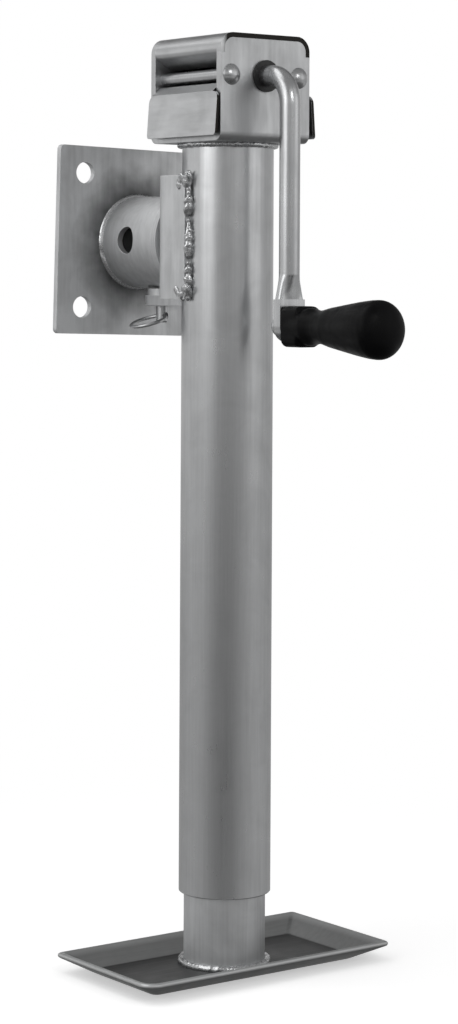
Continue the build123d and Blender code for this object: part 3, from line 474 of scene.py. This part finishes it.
def weld_metal(finish, hollow_tone, pit_depth):
    """Plated weld metal with pits, whose hollows are darkened to a share of its colour."""
    colour = finish.weld_metal
    pit_size = 1.6 * MM
    material, tree, shader, place = new_finish(colour, 1.0, 0.30)
    pits = add_node(
        tree,
        "ShaderNodeTexNoise",
        {"Vector": place.outputs["Object"], "Scale": 1 / pit_size, "Detail": 3.0, "Roughness": 0.6},
    )
    hollow, crest = 0.36, 0.50
    tone = fade(tree, shade(colour, hollow_tone), colour, pits, hollow, crest)
    dullness = add_node(
        tree,
        "ShaderNodeMapRange",
        {"Value": pits, "From Min": hollow, "From Max": crest, "To Min": 0.5, "To Max": 0.24},
    )
    relief = add_node(tree, "ShaderNodeBump", {"Strength": 0.5, "Distance": pit_depth, "Height": pits})
    feed(shader, {"Base Color": tone, "Roughness": dullness, "Normal": relief})
    return material


def bright_zinc_on_bar(finish):
    """Bright zinc on smooth drawn bar: glossy but soft, with faint drawing lines and lighter edges,
    part rubbed and part painted highlight.
    """
    grain = upright_grain(finish, 0.5, 0.5)
    return plated_metal(finish, finish.bright_bar, grain, shiny=0.24, dull=0.34, edge_light=1.1)[0]


def smear(tree, shader, place, size, spread, sheen, detail=3.0, distortion=0.0):
    """Smears of one size that change the roughness. Returns the nodes of both.

    spread is the part of the smears' range that counts, and sheen the roughness at that part's ends.
    """
    smears = add_node(
        tree,
        "ShaderNodeTexNoise",
        {"Vector": place.outputs["Object"], "Scale": 1 / size, "Detail": detail, "Distortion": distortion},
    )
    ends = {"From Min": spread[0], "From Max": spread[1], "To Min": sheen[0], "To Max": sheen[1]}
    dullness = add_node(tree, "ShaderNodeMapRange", {"Value": smears, **ends})
    feed(shader, {"Roughness": dullness})
    return smears, dullness


def blend_shades(tree, shader, colour, share, dark, light):
    """Colours the surface between a darker and a lighter shade, by a share from nought to one."""
    shades = {"Factor": share, "A": shade(colour, dark), "B": shade(colour, light)}
    tone = add_node(tree, "ShaderNodeMix", shades, data_type="RGBA")
    feed(shader, {"Base Color": tone})


def greased_gear_steel(finish):
    """Machined steel under grease: dark, with a wet sheen that is thicker in patches."""
    colour = finish.gear_steel
    material, tree, shader, place = new_finish(colour, 1.0, 0.34)
    wet = smear(
        tree, shader, place, size=6 * MM, spread=(0.4, 0.6), sheen=(0.2, 0.5), distortion=1.2
    )[1]
    blend_shades(tree, shader, colour, wet, dark=0.55, light=1.15)
    feed(shader, {"Coat Weight": 0.4, "Coat Roughness": 0.12})
    return material


def graphite_grease_and_painted_shade(finish):
    """Steel under thick graphite grease with a soft wet sheen, painted black also as the shade seen
    through the lock hole.
    """
    material, tree, shader, place = new_finish(finish.hub_grease_and_shade, 0.0, 0.38)
    smear(tree, shader, place, size=4 * MM, spread=(0.4, 0.6), sheen=(0.28, 0.5), distortion=1.0)
    feed(shader, {"Specular IOR Level": 0.15})
    return material


def ground_bearing_steel(finish):
    """Hardened steel, ground and polished: bright, with a grain drawn coarser than the wheel leaves it."""
    material, tree, shader, place = new_finish(finish.race_steel, 1.0, 0.14)
    smear(
        tree, shader, place, finish.speckle_size, spread=(0.3, 0.7), sheen=(0.10, 0.20), detail=2.0
    )
    return material


def oil_filled_bushing(finish):
    """Black oil-filled plastic, turned and a little dusty: a soft sheen with fine dull specks."""
    colour = finish.bushing_black
    material, tree, shader, place = new_finish(colour, 0.0, 0.42)
    dust = smear(tree, shader, place, size=1.2 * MM, spread=(0.35, 0.65), sheen=(0.34, 0.52))[0]
    blend_shades(tree, shader, colour, dust, dark=0.6, light=1.5)
    return material


def spark_eroded_black_pvc(finish):
    """Soft black PVC from a spark-eroded mould: a satin skin with fine even grain, a little dusty."""
    colour = finish.grip_black
    material, tree, shader, place = new_finish(colour, 0.0, 0.40)
    patches = {"size": 9 * MM, "spread": (0.35, 0.65), "detail": 4.0, "distortion": 0.8}
    dust = smear(tree, shader, place, sheen=(0.36, 0.50), **patches)[0]
    blend_shades(tree, shader, colour, dust, dark=0.7, light=1.5)
    grain = {"Scale": 1 / finish.spark_grain, "Detail": 2.0, "Roughness": 0.6}
    skin = add_node(tree, "ShaderNodeTexNoise", {"Vector": place.outputs["Object"], **grain})
    relief = add_node(tree, "ShaderNodeBump", {"Strength": 0.5, "Distance": 0.05 * MM, "Height": skin})
    feed(shader, {"Normal": relief, "Specular IOR Level": 0.09})
    return material


def finish_nodes(make_finish, names):
    """Gives CAD nodes one finish, which is made once, named after its function and shared."""
    material = bpy.data.materials.get(make_finish.__name__)
    if material is None:
        material = make_finish(bpy.context.scene.jack_finish)
        material.name = make_finish.__name__
    for name in names:
        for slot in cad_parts[name].material_slots:
            slot.material = material
    return material


def add_piece(name, work, material, body):
    """Turns a bmesh into a shaded piece that rides on a body, with its place in its mesh."""
    mesh = bpy.data.meshes.new(name)
    work.to_mesh(mesh)
    work.free()
    mesh.materials.append(material)
    mesh.shade_smooth()
    piece = bpy.data.objects.new(name, mesh)
    bpy.context.scene.collection.objects.link(piece)
    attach(piece, body)
    return piece


# How weld puddles lie: degrees that each leans back, how far that varies, and the share of their
# half width that they stray to the side.
PUDDLE_LEAN = -24
LEAN_VARIES = 12
PUDDLE_STRAYS = 0.4


def lay_puddles(work, spots, size, rng, uneven):
    """Lays flattened weld puddles, each tilted back over the one before it.

    spots are (middle, along, out) vectors, and size a puddle's half length, half width and half height.
    """
    for middle, along, out in spots:
        across = along.cross(out).normalized()
        up = across.cross(along).normalized()
        grow = 1 + rng.uniform(-uneven, uneven)
        nudge = across * rng.uniform(-uneven, uneven) * size[1] * PUDDLE_STRAYS
        turn = Matrix((along.normalized(), across, up)).transposed().to_4x4()
        lean = PUDDLE_LEAN + rng.uniform(-LEAN_VARIES, LEAN_VARIES) * uneven
        tilt = Matrix.Rotation(radians(lean), 4, "Y")
        shape = Matrix.Diagonal((size[0] * grow, size[1] * grow, size[2] * grow, 1.0))
        bmesh.ops.create_icosphere(
            work,
            subdivisions=3,
            radius=1.0,
            matrix=Matrix.Translation(middle + nudge) @ turn @ tilt @ shape,
        )


def rounded_rectangle(half_x, half_y, radii):
    """Points anticlockwise from the front right corner, with a radius for each of the four corners."""
    sides = ((1, -1), (1, 1), (-1, 1), (-1, -1))
    steps = 8
    for number, ((side_x, side_y), radius) in enumerate(zip(sides, radii)):
        for step in range(steps + 1):
            turn = (number - 1 + step / steps) * pi / 2
            x = side_x * (half_x - radius) + cos(turn) * radius
            y = side_y * (half_y - radius) + sin(turn) * radius
            yield x, y


# Smoothing passes over a melted skin: few keep a weld's lumps, and many make it even.
HAND_WELD_PASSES = 3
MACHINE_WELD_PASSES = 10
MOULDED_PASSES = 6


def melt(piece, skin, passes):
    """Melts what a piece is made of into one closed skin, which each pass makes softer."""
    remesh = piece.modifiers.new("melted", "REMESH")
    remesh.mode = "VOXEL"
    remesh.voxel_size = skin
    remesh.use_smooth_shade = True
    soften = piece.modifiers.new("softened", "SMOOTH")
    soften.factor = 0.4
    soften.iterations = passes


def ring_spots(centre, axis, start, radius, pitch):
    """Evenly spaced places round a circle, with the direction along it and one off the weld's face."""
    count = round(tau * radius / pitch)
    other = axis.cross(start)
    for number in range(count):
        angle = tau * number / count
        outward = start * cos(angle) + other * sin(angle)
        along = other * cos(angle) - start * sin(angle)
        yield centre + outward * radius, along, (outward + axis).normalized()


class JACK_OT_tubes(bpy.types.Operator):
    """Plates the outer and the inner tube"""

    bl_idname = "jack.tubes"
    bl_label = "Finish tubes"

    def execute(self, context):
        finish_nodes(zinc_plated_drawn_tube, ["outer_tube"])
        finish_nodes(zinc_plated_sliding_tube, ["inner_tube"])
        return {"FINISHED"}


class JACK_OT_housing(bpy.types.Operator):
    """Plates the gear housing, its cover strap and its side skirts"""

    bl_idname = "jack.housing"
    bl_label = "Finish housing"

    def execute(self, context):
        finish_nodes(zinc_plated_rolled_plate, ["gear_housing"])
        finish_nodes(galvanised_strap_lit_corner, ["top_cover"])
        finish_nodes(galvanised_sheet_bare_shaded_edges, ["left_skirt", "right_skirt"])
        return {"FINISHED"}


class JACK_OT_crank(bpy.types.Operator):
    """Plates the crank handle, the grip's pin and the spacer rods"""

    bl_idname = "jack.crank"
    bl_label = "Finish crank"

    def execute(self, context):
        finish_nodes(bright_zinc_on_bar, ["crank_handle", "grip_pin", "spacer_rods", "shaft_washer"])
        return {"FINISHED"}


# The grip's outline in millimetres, as steps along Y from the neck with what they add to a radius:
# first to the neck's, then to the thick end's. The cone starts inside the block.
NECK_CURVE = ((9.0, 1.5), (3.5, 0.15), (0.0, 0.0), (-4.0, 0.45), (-11.0, 2.0))
SWELL_CURVE = ((-30.0, -2.6), (-39.0, -1.3), (-48.0, -0.25))
CONE_INSET = 3.0
ROUND_END_STEPS = 12


class JACK_OT_grip(bpy.types.Operator):
    """Moulds the black grip: a block, a neck and a body that swells to a round end"""

    bl_idname = "jack.grip"
    bl_label = "Finish grip"

    def execute(self, context):
        mould = context.scene.jack_grip
        low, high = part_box("grip")
        axis_z = (low.z + high.z) / 2
        work = bmesh.new()
        bmesh.ops.create_cube(work, size=1.0)
        block = (mould.block_width, mould.block_length, mould.block_height)
        bmesh.ops.scale(work, vec=block, verts=work.verts)
        bmesh.ops.translate(work, vec=(0, high.y - mould.block_length / 2, 0), verts=work.verts)
        long_edges = [edge for edge in work.edges if abs(edge.verts[0].co.y - edge.verts[1].co.y) > MM]
        bmesh.ops.bevel(
            work,
            geom=long_edges,
            offset=mould.block_corner,
            segments=5,
            profile=0.5,
            affect="EDGES",
            material=-1,
        )
        spun = bmesh.new()
        cone_start = high.y - CONE_INSET * MM
        outline = [(cone_start, 0.0), (cone_start, mould.block_width / 2)]
        for curve, radius in ((NECK_CURVE, mould.neck_r), (SWELL_CURVE, mould.end_r)):
            outline += [(mould.neck_y + along * MM, radius + more * MM) for along, more in curve]
        for number in range(ROUND_END_STEPS + 1):
            turn = number / ROUND_END_STEPS * pi / 2
            along = mould.end_start - sin(turn) * (mould.end_start - low.y)
            outline.append((along, cos(turn) * mould.end_r))
        corners = [spun.verts.new((radius, y, 0)) for y, radius in outline]
        for one, other in zip(corners, corners[1:]):
            spun.edges.new((one, other))
        bmesh.ops.spin(
            spun,
            geom=spun.verts[:] + spun.edges[:],
            cent=(0, 0, 0),
            axis=(0, 1, 0),
            angle=tau,
            steps=64,
            use_merge=True,
        )
        bmesh.ops.remove_doubles(spun, verts=spun.verts, dist=0.01 * MM)
        body = bpy.data.meshes.new("grip_body")
        spun.to_mesh(body)
        spun.free()
        work.from_mesh(body)
        bpy.data.meshes.remove(body)
        bmesh.ops.translate(work, vec=(0, 0, axis_z), verts=work.verts)
        for vert in work.verts:
            beyond = max(0.0, mould.neck_y - vert.co.y) / (mould.neck_y - low.y)
            vert.co.z -= beyond * mould.sag
        bmesh.ops.recalc_face_normals(work, faces=work.faces)
        material = finish_nodes(spark_eroded_black_pvc, ["grip"])
        piece = add_piece("moulded_grip", work, material, "grip")
        melt(piece, mould.skin, MOULDED_PASSES)
        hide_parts("grip")
        return {"FINISHED"}


class JACK_OT_bushings(bpy.types.Operator):
    """Blackens the shaft's and the screw's bushings"""

    bl_idname = "jack.bushings"
    bl_label = "Finish bushings"

    def execute(self, context):
        finish_nodes(oil_filled_bushing, ["front_bushing", "back_bushing", "screw_bushing"])
        return {"FINISHED"}


class JACK_OT_drive(bpy.types.Operator):
    """Greases the gears, the screw and its nut, and grinds the thrust bearing"""

    bl_idname = "jack.drive"
    bl_label = "Finish drive"

    def execute(self, context):
        gears = ["pinion", "pinion_pin", "screw_gear", "gear_pin"]
        screw = ["lead_screw", "drive_nut", "shaft_clip"]
        bearing = ["bearing_top_race", "bearing_bottom_race", "bearing_balls", "bearing_cage"]
        finish_nodes(greased_gear_steel, gears + screw)
        finish_nodes(ground_bearing_steel, bearing)
        return {"FINISHED"}


class JACK_OT_swivel(bpy.types.Operator):
    """Plates the bracket, the swivel's hub, washer and drum, and the mounting plate"""

    bl_idname = "jack.swivel"
    bl_label = "Finish swivel"

    def execute(self, context):
        welded = ["swivel_bracket", "pivot_drum", "thrust_washer", "lock_lug", "lock_barrel"]
        finish_nodes(zinc_plated_weldment, welded)
        finish_nodes(zinc_plated_plate_stain_and_shadow, ["mount_plate"])
        finish_nodes(graphite_grease_and_painted_shade, ["pivot_hub"])
        finish_nodes(greased_gear_steel, ["retaining_ring"])
        return {"FINISHED"}


class JACK_OT_lock(bpy.types.Operator):
    """Plates the lock pin, its spring and its pull ring"""

    bl_idname = "jack.lock"
    bl_label = "Finish lock pin"

    def execute(self, context):
        finish_nodes(bright_zinc_on_bar, ["lock_pin", "pull_ring"])
        finish_nodes(ground_bearing_steel, ["lock_spring"])
        return {"FINISHED"}


# Faces round the foot's fold and round its rim.
FOLD_STEPS = 5
RIM_STEPS = 8


class JACK_OT_foot(bpy.types.Operator):
    """Presses the foot, a shallow tray with flared walls and a round rim, in dull dark zinc"""

    bl_idname = "jack.foot"
    bl_label = "Finish foot"

    def execute(self, context):
        pressing = context.scene.jack_foot
        low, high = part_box("foot_plate")
        half_x = pressing.floor_length / 2
        half_y = pressing.floor_width / 2
        half_sheet = pressing.sheet / 2
        rim_out = ((high.x - low.x) / 2 - half_x, (high.y - low.y) / 2 - half_y)
        rim_reach = sum(rim_out) / 2 - half_sheet
        flare = atan2(pressing.rim_top - pressing.sheet, rim_reach)
        bend_start = -pressing.fold * tan(flare / 2)
        bends = [flare * number / FOLD_STEPS for number in range(FOLD_STEPS + 1)]
        outer_r = pressing.fold + half_sheet
        inner_r = pressing.fold - half_sheet
        underside = [(bend_start + outer_r * sin(turn), outer_r * (1 - cos(turn))) for turn in bends]
        top = [
            (bend_start + inner_r * sin(turn), pressing.sheet + inner_r * (1 - cos(turn)))
            for turn in reversed(bends)
        ]
        round_rim = [flare + (number / RIM_STEPS - 0.5) * pi for number in range(RIM_STEPS + 1)]
        rim_z = pressing.rim_top - half_sheet
        rim = [(rim_reach + half_sheet * cos(turn), rim_z + half_sheet * sin(turn)) for turn in round_rim]
        work = bmesh.new()
        rings = []
        for out, z in underside + rim + top:
            share = max(0.0, out) / rim_reach
            inner = pressing.floor_corner
            corners = [pressing.rim_corner] * 3 + [pressing.near_corner]
            radii = [inner + (corner - inner) * share for corner in corners]
            points = rounded_rectangle(half_x + out, half_y + out, radii)
            rings.append([work.verts.new((x, y, z)) for x, y in points])
        for one, other in zip(rings, rings[1:]):
            for number, vert in enumerate(one):
                work.faces.new((one[number - 1], vert, other[number], other[number - 1]))
        work.faces.new(reversed(rings[0]))
        work.faces.new(rings[-1])
        bmesh.ops.translate(work, vec=tuple(pressing.middle), verts=work.verts)
        bmesh.ops.recalc_face_normals(work, faces=work.faces)
        material = finish_nodes(dull_zinc_pressing, ["foot_plate"])
        piece = add_piece("pressed_foot", work, material, "leg")
        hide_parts("foot_plate")
        return {"FINISHED"}


# The bracket's beads, in millimetres: half width and half height of a puddle in the seam, half sizes
# of a puddle in the heap at its end, and how far a heap goes back along the arm, along it and to its tip.
SEAM_PUDDLE = (2.3, 1.1)
SEAM_PUDDLE_LENGTH = 1.25
HEAP_PUDDLE = (2.6, 1.9, 1.0)
HEAP_BACK = (-2.0, 9.0)
HEAP_LENGTH = 12.0
HEAP_TIP = 14.0
# Directions as X away from the tube's middle and Y: off the seam, and off the arm's side.
OFF_SEAM = (0.5, -0.86)
OFF_ARM = (1.0, -0.15)
HEAP_SLANT = 0.7
# How much more uneven hand laid puddles are, and how much less those of a machine.
SEAM_UNEVEN = 1.6
HEAP_UNEVEN = 1.8
MACHINE_UNEVEN = 0.4


class JACK_OT_bracket_beads(bpy.types.Operator):
    """Lays the two lumpy beads that join the swivel bracket to the outer tube"""

    bl_idname = "jack.bracket_beads"
    bl_label = "Lay bracket beads"

    def execute(self, context):
        bead = context.scene.jack_bead
        rng = Random(bead.seed)
        low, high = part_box("bracket_welds")
        tube_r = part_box("outer_tube")[1].x
        arm_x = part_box("swivel_bracket")[1].x
        up = Vector((0, 0, 1))
        work = bmesh.new()
        for side in (-1, 1):
            middle = Vector((side * (tube_r + arm_x) / 2, (low.y + high.y) / 2, 0))
            outward = Vector((side * OFF_SEAM[0], OFF_SEAM[1], 0))
            count = round((high.z - low.z) / bead.pitch)
            spots = []
            for number in range(count + 1):
                if rng.random() < bead.skips:
                    continue
                z = low.z + (high.z - low.z) * number / count
                spots.append((middle + up * z, up, outward))
            size = (bead.pitch * SEAM_PUDDLE_LENGTH, *[half * MM for half in SEAM_PUDDLE])
            lay_puddles(work, spots, size, rng, bead.unevenness * SEAM_UNEVEN)
            spots = []
            face = Vector((side * OFF_ARM[0], OFF_ARM[1], 0))
            sunk_x = side * (arm_x - 0.3 * MM)
            for end, rise in ((high.z - MM, -1), (low.z + MM, 1)):
                for _ in range(bead.end_puddles):
                    back = rng.uniform(*HEAP_BACK) * MM
                    along = rng.uniform(0, HEAP_LENGTH) * MM * (1 - back / (HEAP_TIP * MM))
                    lie = Vector((0, rng.uniform(-HEAP_SLANT, HEAP_SLANT), 1)).normalized()
                    spots.append((Vector((sunk_x, back, end + rise * along)), lie, face))
            size = [half * MM for half in HEAP_PUDDLE]
            lay_puddles(work, spots, size, rng, bead.unevenness * HEAP_UNEVEN)
        material = finish_nodes(plated_weld_metal, ["bracket_welds"])
        piece = add_piece("bracket_beads", work, material, "jack")
        melt(piece, bead.skin, HAND_WELD_PASSES)
        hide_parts("bracket_welds")
        return {"FINISHED"}


# The ring beads, as shares of the leg of the fillet that each replaces: how far its middle lies in
# from the fillet's outside and off the weld's face, and its half width and half height. A puddle's
# half length is a share of the pitch.
RING_BEAD_IN = 0.62
RING_BEAD_UP = 0.36
RING_PUDDLE = (0.62, 0.34)
RING_PUDDLE_LENGTH = 1.6


class JACK_OT_ring_beads(bpy.types.Operator):
    """Lays the smooth beads round the tube's top and the foot, and plates the drum's"""

    bl_idname = "jack.ring_beads"
    bl_label = "Lay ring beads"

    def execute(self, context):
        bead = context.scene.jack_bead
        material = finish_nodes(plated_machine_weld, ["drum_weld", "tube_weld", "foot_weld"])
        rings = (
            ("tube_bead", "tube_weld", "jack", Vector((0, 0, -1)), 1),
            ("foot_bead", "foot_weld", "leg", Vector((0, 0, 1)), 0),
        )
        for number, (name, node, body, off_face, face_end) in enumerate(rings):
            rng = Random(bead.seed + number + 1)
            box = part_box(node)
            leg = abs((box[1] - box[0]).dot(off_face))
            outer_r = (box[1].x - box[0].x) / 2
            middle = (box[0] + box[1]) / 2
            middle.z = box[face_end].z
            inside_r = outer_r - leg * RING_BEAD_IN
            centre = middle + off_face * leg * RING_BEAD_UP
            start = Vector((1, 0, 0))
            work = bmesh.new()
            spots = ring_spots(centre, off_face, start, inside_r, bead.pitch)
            size = (bead.pitch * RING_PUDDLE_LENGTH, *[leg * half for half in RING_PUDDLE])
            lay_puddles(work, spots, size, rng, bead.unevenness * MACHINE_UNEVEN)
            piece = add_piece(name, work, material, body)
            melt(piece, bead.skin, MACHINE_WELD_PASSES)
            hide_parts(node)
        return {"FINISHED"}


# What bare metal sees: grey walls at eye level and low down, as degrees right of the camera with a
# tone, then the ceiling above, the paper and the dark under the jack.
WALLS_LEVEL = (
    (-180, 0.85), (-136, 0.85), (-112, 0.92), (-80, 0.88), (-45, 0.76), (-30, 0.66), (0, 0.64),
    (14, 0.62), (28, 0.58), (50, 0.60), (80, 0.64), (110, 0.52), (136, 0.50), (180, 0.85),
)
WALLS_LOW = (
    (-180, 0.40), (-136, 0.36), (-106, 0.40), (-60, 0.30), (-38, 0.12), (-15, 0.02), (0, 0.01),
    (15, 0.03), (40, 0.24), (80, 0.42), (110, 0.42), (136, 0.38), (180, 0.40),
)
WHITE = (1.0, 1.0, 1.0, 1.0)
CEILING = (0.32, 0.32, 0.32, 1.0)
CEILING_BEHIND = (0.11, 0.11, 0.11, 1.0)
PAPER_IN_METAL = (0.60, 0.60, 0.60, 1.0)
UNDER_THE_JACK = (0.13, 0.13, 0.13, 1.0)


class JACK_OT_studio(bpy.types.Operator):
    """Builds the camera, the paper floor, the lamps and the white surroundings"""

    bl_idname = "jack.studio"
    bl_label = "Build studio"

    def execute(self, context):
        studio = context.scene.jack_studio
        to_camera = Vector((-sin(studio.turn), -cos(studio.turn), 0))
        to_right = Vector((cos(studio.turn), -sin(studio.turn), 0))
        self.add_camera(context, studio, to_camera, to_right)
        self.add_floor(context, studio)
        self.add_lamps(context, studio, to_camera, to_right)
        self.add_surroundings(context, to_camera, to_right)
        context.scene.view_settings.view_transform = "Standard"
        return {"FINISHED"}

    def add_camera(self, context, studio, to_camera, to_right):
        """The level camera, with its frame shifted down to take in the foot."""
        data = bpy.data.cameras.new("camera")
        data.lens = studio.lens
        data.sensor_width = 36.0
        data.shift_y = studio.shift
        data.clip_start = 0.01
        data.clip_end = 50.0
        camera = bpy.data.objects.new("camera", data)
        context.scene.collection.objects.link(camera)
        upright = Matrix((to_right, Vector((0, 0, 1)), to_camera)).transposed()
        lean = Matrix.Rotation(studio.roll, 3, to_camera)
        camera.matrix_world = (lean @ upright).to_4x4()
        place = to_camera * studio.distance + to_right * studio.beside_axis
        camera.location = place + Vector((0, 0, studio.eye_height))
        context.scene.camera = camera

    def add_floor(self, context, studio):
        """Matt white paper under the foot that keeps its shadow and is burnt out to white further off."""
        material = bpy.data.materials.new("matt_white_paper")
        material.use_nodes = True
        tree = material.node_tree
        tree.nodes.clear()
        paper = add_node(tree, "ShaderNodeBsdfDiffuse", {"Color": tuple(studio.paper)})
        rays = add_node(tree, "ShaderNodeLightPath")
        to_eye = rays.outputs["Is Camera Ray"]
        lift = add_node(tree, "ShaderNodeMath", {0: to_eye, 1: studio.paper_lift}, operation="MULTIPLY")
        glow = add_node(tree, "ShaderNodeEmission", {"Color": WHITE, "Strength": lift})
        near = add_node(tree, "ShaderNodeAddShader", {0: paper, 1: glow})
        white = add_node(tree, "ShaderNodeEmission", {"Color": WHITE, "Strength": to_eye})
        place = add_node(tree, "ShaderNodeTexCoord")
        away = add_node(tree, "ShaderNodeVectorMath", {0: place.outputs["Object"]}, operation="LENGTH")
        burnt_out = add_node(
            tree,
            "ShaderNodeMapRange",
            {"Value": away, "From Min": 0.15, "From Max": 0.60},
            interpolation_type="SMOOTHSTEP",
        )
        sheet = add_node(tree, "ShaderNodeMixShader", {"Fac": burnt_out, 1: near, 2: white})
        add_node(tree, "ShaderNodeOutputMaterial", {"Surface": sheet})
        work = bmesh.new()
        bmesh.ops.create_grid(work, x_segments=2, y_segments=2, size=studio.floor_size / 2)
        mesh = bpy.data.meshes.new("paper_floor")
        work.to_mesh(mesh)
        work.free()
        mesh.materials.append(material)
        floor = bpy.data.objects.new("paper_floor", mesh)
        floor.visible_glossy = False
        context.scene.collection.objects.link(floor)
        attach(floor, "leg")

    def add_lamps(self, context, studio, to_camera, to_right):
        """Soft lamps: tall on the left, weak on the right, overhead, and a small one for glints."""
        # Name, power, place beside the tube, height, height that it aims at, how wide and how tall it is.
        lamps = (
            ("key", studio.key_power, to_camera * 0.80 - to_right * 0.96, 1.12, 1.12, 0.80, 1.22),
            ("fill", studio.fill_power, to_camera * 0.45 + to_right * 1.35, 0.95, 0.50, 1.1, 1.3),
            ("top", studio.top_power, -to_camera * 0.10 - to_right * 0.85, 1.65, 0.50, 1.2, 1.2),
            ("glint", studio.glint_power, to_camera * 1.20 + to_right * 0.60, 1.11, 0.55, 0.34, 0.34),
        )
        for name, power, beside, height, aim_height, width, tall in lamps:
            place = beside + Vector((0, 0, height))
            data = bpy.data.lights.new(name, "AREA")
            data.shape = "RECTANGLE"
            data.size = width
            data.size_y = tall
            data.energy = power
            lamp = bpy.data.objects.new(name, data)
            context.scene.collection.objects.link(lamp)
            from_aim = place - Vector((0, 0, aim_height))
            lamp.matrix_world = from_aim.to_track_quat("Z", "Y").to_matrix().to_4x4()
            lamp.location = place
            lamp.visible_camera = False

    def add_surroundings(self, context, to_camera, to_right):
        """White to the eye. The metal sees grey walls all round, darkest low down in front."""
        world = bpy.data.worlds.new("white_studio")
        world.use_nodes = True
        tree = world.node_tree
        tree.nodes.clear()
        look = add_node(tree, "ShaderNodeTexCoord").outputs["Generated"]
        rise = add_node(tree, "ShaderNodeSeparateXYZ", {"Vector": look}).outputs["Z"]
        across, toward = [
            add_node(tree, "ShaderNodeVectorMath", {0: look, 1: tuple(way)}, operation="DOT_PRODUCT")
            for way in (to_right, to_camera)
        ]
        turn = add_node(tree, "ShaderNodeMath", {0: across, 1: toward}, operation="ARCTAN2")
        round_the_room = add_node(
            tree,
            "ShaderNodeMapRange",
            {"Value": turn, "From Min": -pi, "From Max": pi},
        )
        level, low = [self.add_wall(tree, round_the_room, tones) for tones in (WALLS_LEVEL, WALLS_LOW)]
        walls = fade(tree, level, low, rise, 0.06, -0.13, "SMOOTHSTEP")
        far_paper = fade(tree, walls, PAPER_IN_METAL, rise, -0.28, -0.33, "SMOOTHSTEP")
        below = fade(tree, far_paper, UNDER_THE_JACK, rise, -0.42, -0.55, "SMOOTHSTEP")
        ceiling = fade(tree, CEILING, CEILING_BEHIND, toward, -0.42, -0.72, "SMOOTHSTEP")
        room = fade(tree, below, ceiling, rise, 0.15, 0.50, "SMOOTHSTEP")
        white = add_node(tree, "ShaderNodeBackground", {"Color": WHITE, "Strength": 1.0})
        in_metal = add_node(tree, "ShaderNodeBackground", {"Color": room, "Strength": 1.0})
        soft = add_node(tree, "ShaderNodeBackground", {"Color": WHITE, "Strength": 0.55})
        rays = add_node(tree, "ShaderNodeLightPath")
        lit = add_node(
            tree,
            "ShaderNodeMixShader",
            {"Fac": rays.outputs["Is Glossy Ray"], 1: soft, 2: in_metal},
        )
        clear = add_node(
            tree,
            "ShaderNodeMath",
            {0: rays.outputs["Is Camera Ray"], 1: rays.outputs["Is Transmission Ray"]},
            operation="MAXIMUM",
        )
        seen = add_node(tree, "ShaderNodeMixShader", {"Fac": clear, 1: lit, 2: white})
        add_node(tree, "ShaderNodeOutputWorld", {"Surface": seen})
        context.scene.world = world

    def add_wall(self, tree, round_the_room, tones):
        """One ring of grey walls, from pairs of a direction in degrees right of the camera and a tone."""
        wall = add_node(tree, "ShaderNodeValToRGB", {"Fac": round_the_room})
        stops = wall.color_ramp.elements
        for number, (degrees_right, tone) in enumerate(tones):
            place = degrees_right / 360 + 0.5
            stop = stops[number] if number < 2 else stops.new(place)
            stop.position = place
            stop.color = (tone, tone, tone, 1.0)
        return wall


SETTINGS = {
    "jack_finish": FinishSettings,
    "jack_bead": BeadSettings,
    "jack_foot": FootSettings,
    "jack_grip": GripSettings,
    "jack_studio": StudioSettings,
}

STEPS = (
    JACK_OT_tubes,
    JACK_OT_housing,
    JACK_OT_crank,
    JACK_OT_grip,
    JACK_OT_bushings,
    JACK_OT_drive,
    JACK_OT_swivel,
    JACK_OT_lock,
    JACK_OT_foot,
    JACK_OT_bracket_beads,
    JACK_OT_ring_beads,
    JACK_OT_studio,
)


class JACK_PT_panel(bpy.types.Panel):
    """Lists the pieces, their settings and the studio"""

    bl_idname = "JACK_PT_panel"
    bl_label = "Jack Stand"
    bl_space_type = "VIEW_3D"
    bl_region_type = "UI"
    bl_category = "Jack Stand"

    def draw(self, context):
        for step in STEPS:
            self.layout.operator(step.bl_idname)
        for name, group in SETTINGS.items():
            box = self.layout.box()
            for setting in group.__annotations__:
                box.prop(getattr(context.scene, name), setting)


CLASSES = (*SETTINGS.values(), *STEPS, JACK_PT_panel)


def register():
    """Registers the classes and hangs the settings on the scene."""
    for cls in CLASSES:
        bpy.utils.register_class(cls)
    for name, group in SETTINGS.items():
        setattr(bpy.types.Scene, name, PointerProperty(type=group))


def unregister():
    """Takes the settings and the classes away again."""
    for name in reversed(SETTINGS):
        delattr(bpy.types.Scene, name)
    for cls in reversed(CLASSES):
        bpy.utils.unregister_class(cls)


def main():
    """Registers the add-on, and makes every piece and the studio."""
    register()
    bpy.ops.jack.tubes()
    bpy.ops.jack.housing()
    bpy.ops.jack.crank()
    bpy.ops.jack.grip()
    bpy.ops.jack.bushings()
    bpy.ops.jack.drive()
    bpy.ops.jack.swivel()
    bpy.ops.jack.lock()
    bpy.ops.jack.foot()
    bpy.ops.jack.bracket_beads()
    bpy.ops.jack.ring_beads()
    bpy.ops.jack.studio()


if __name__ == "__main__":
    main()
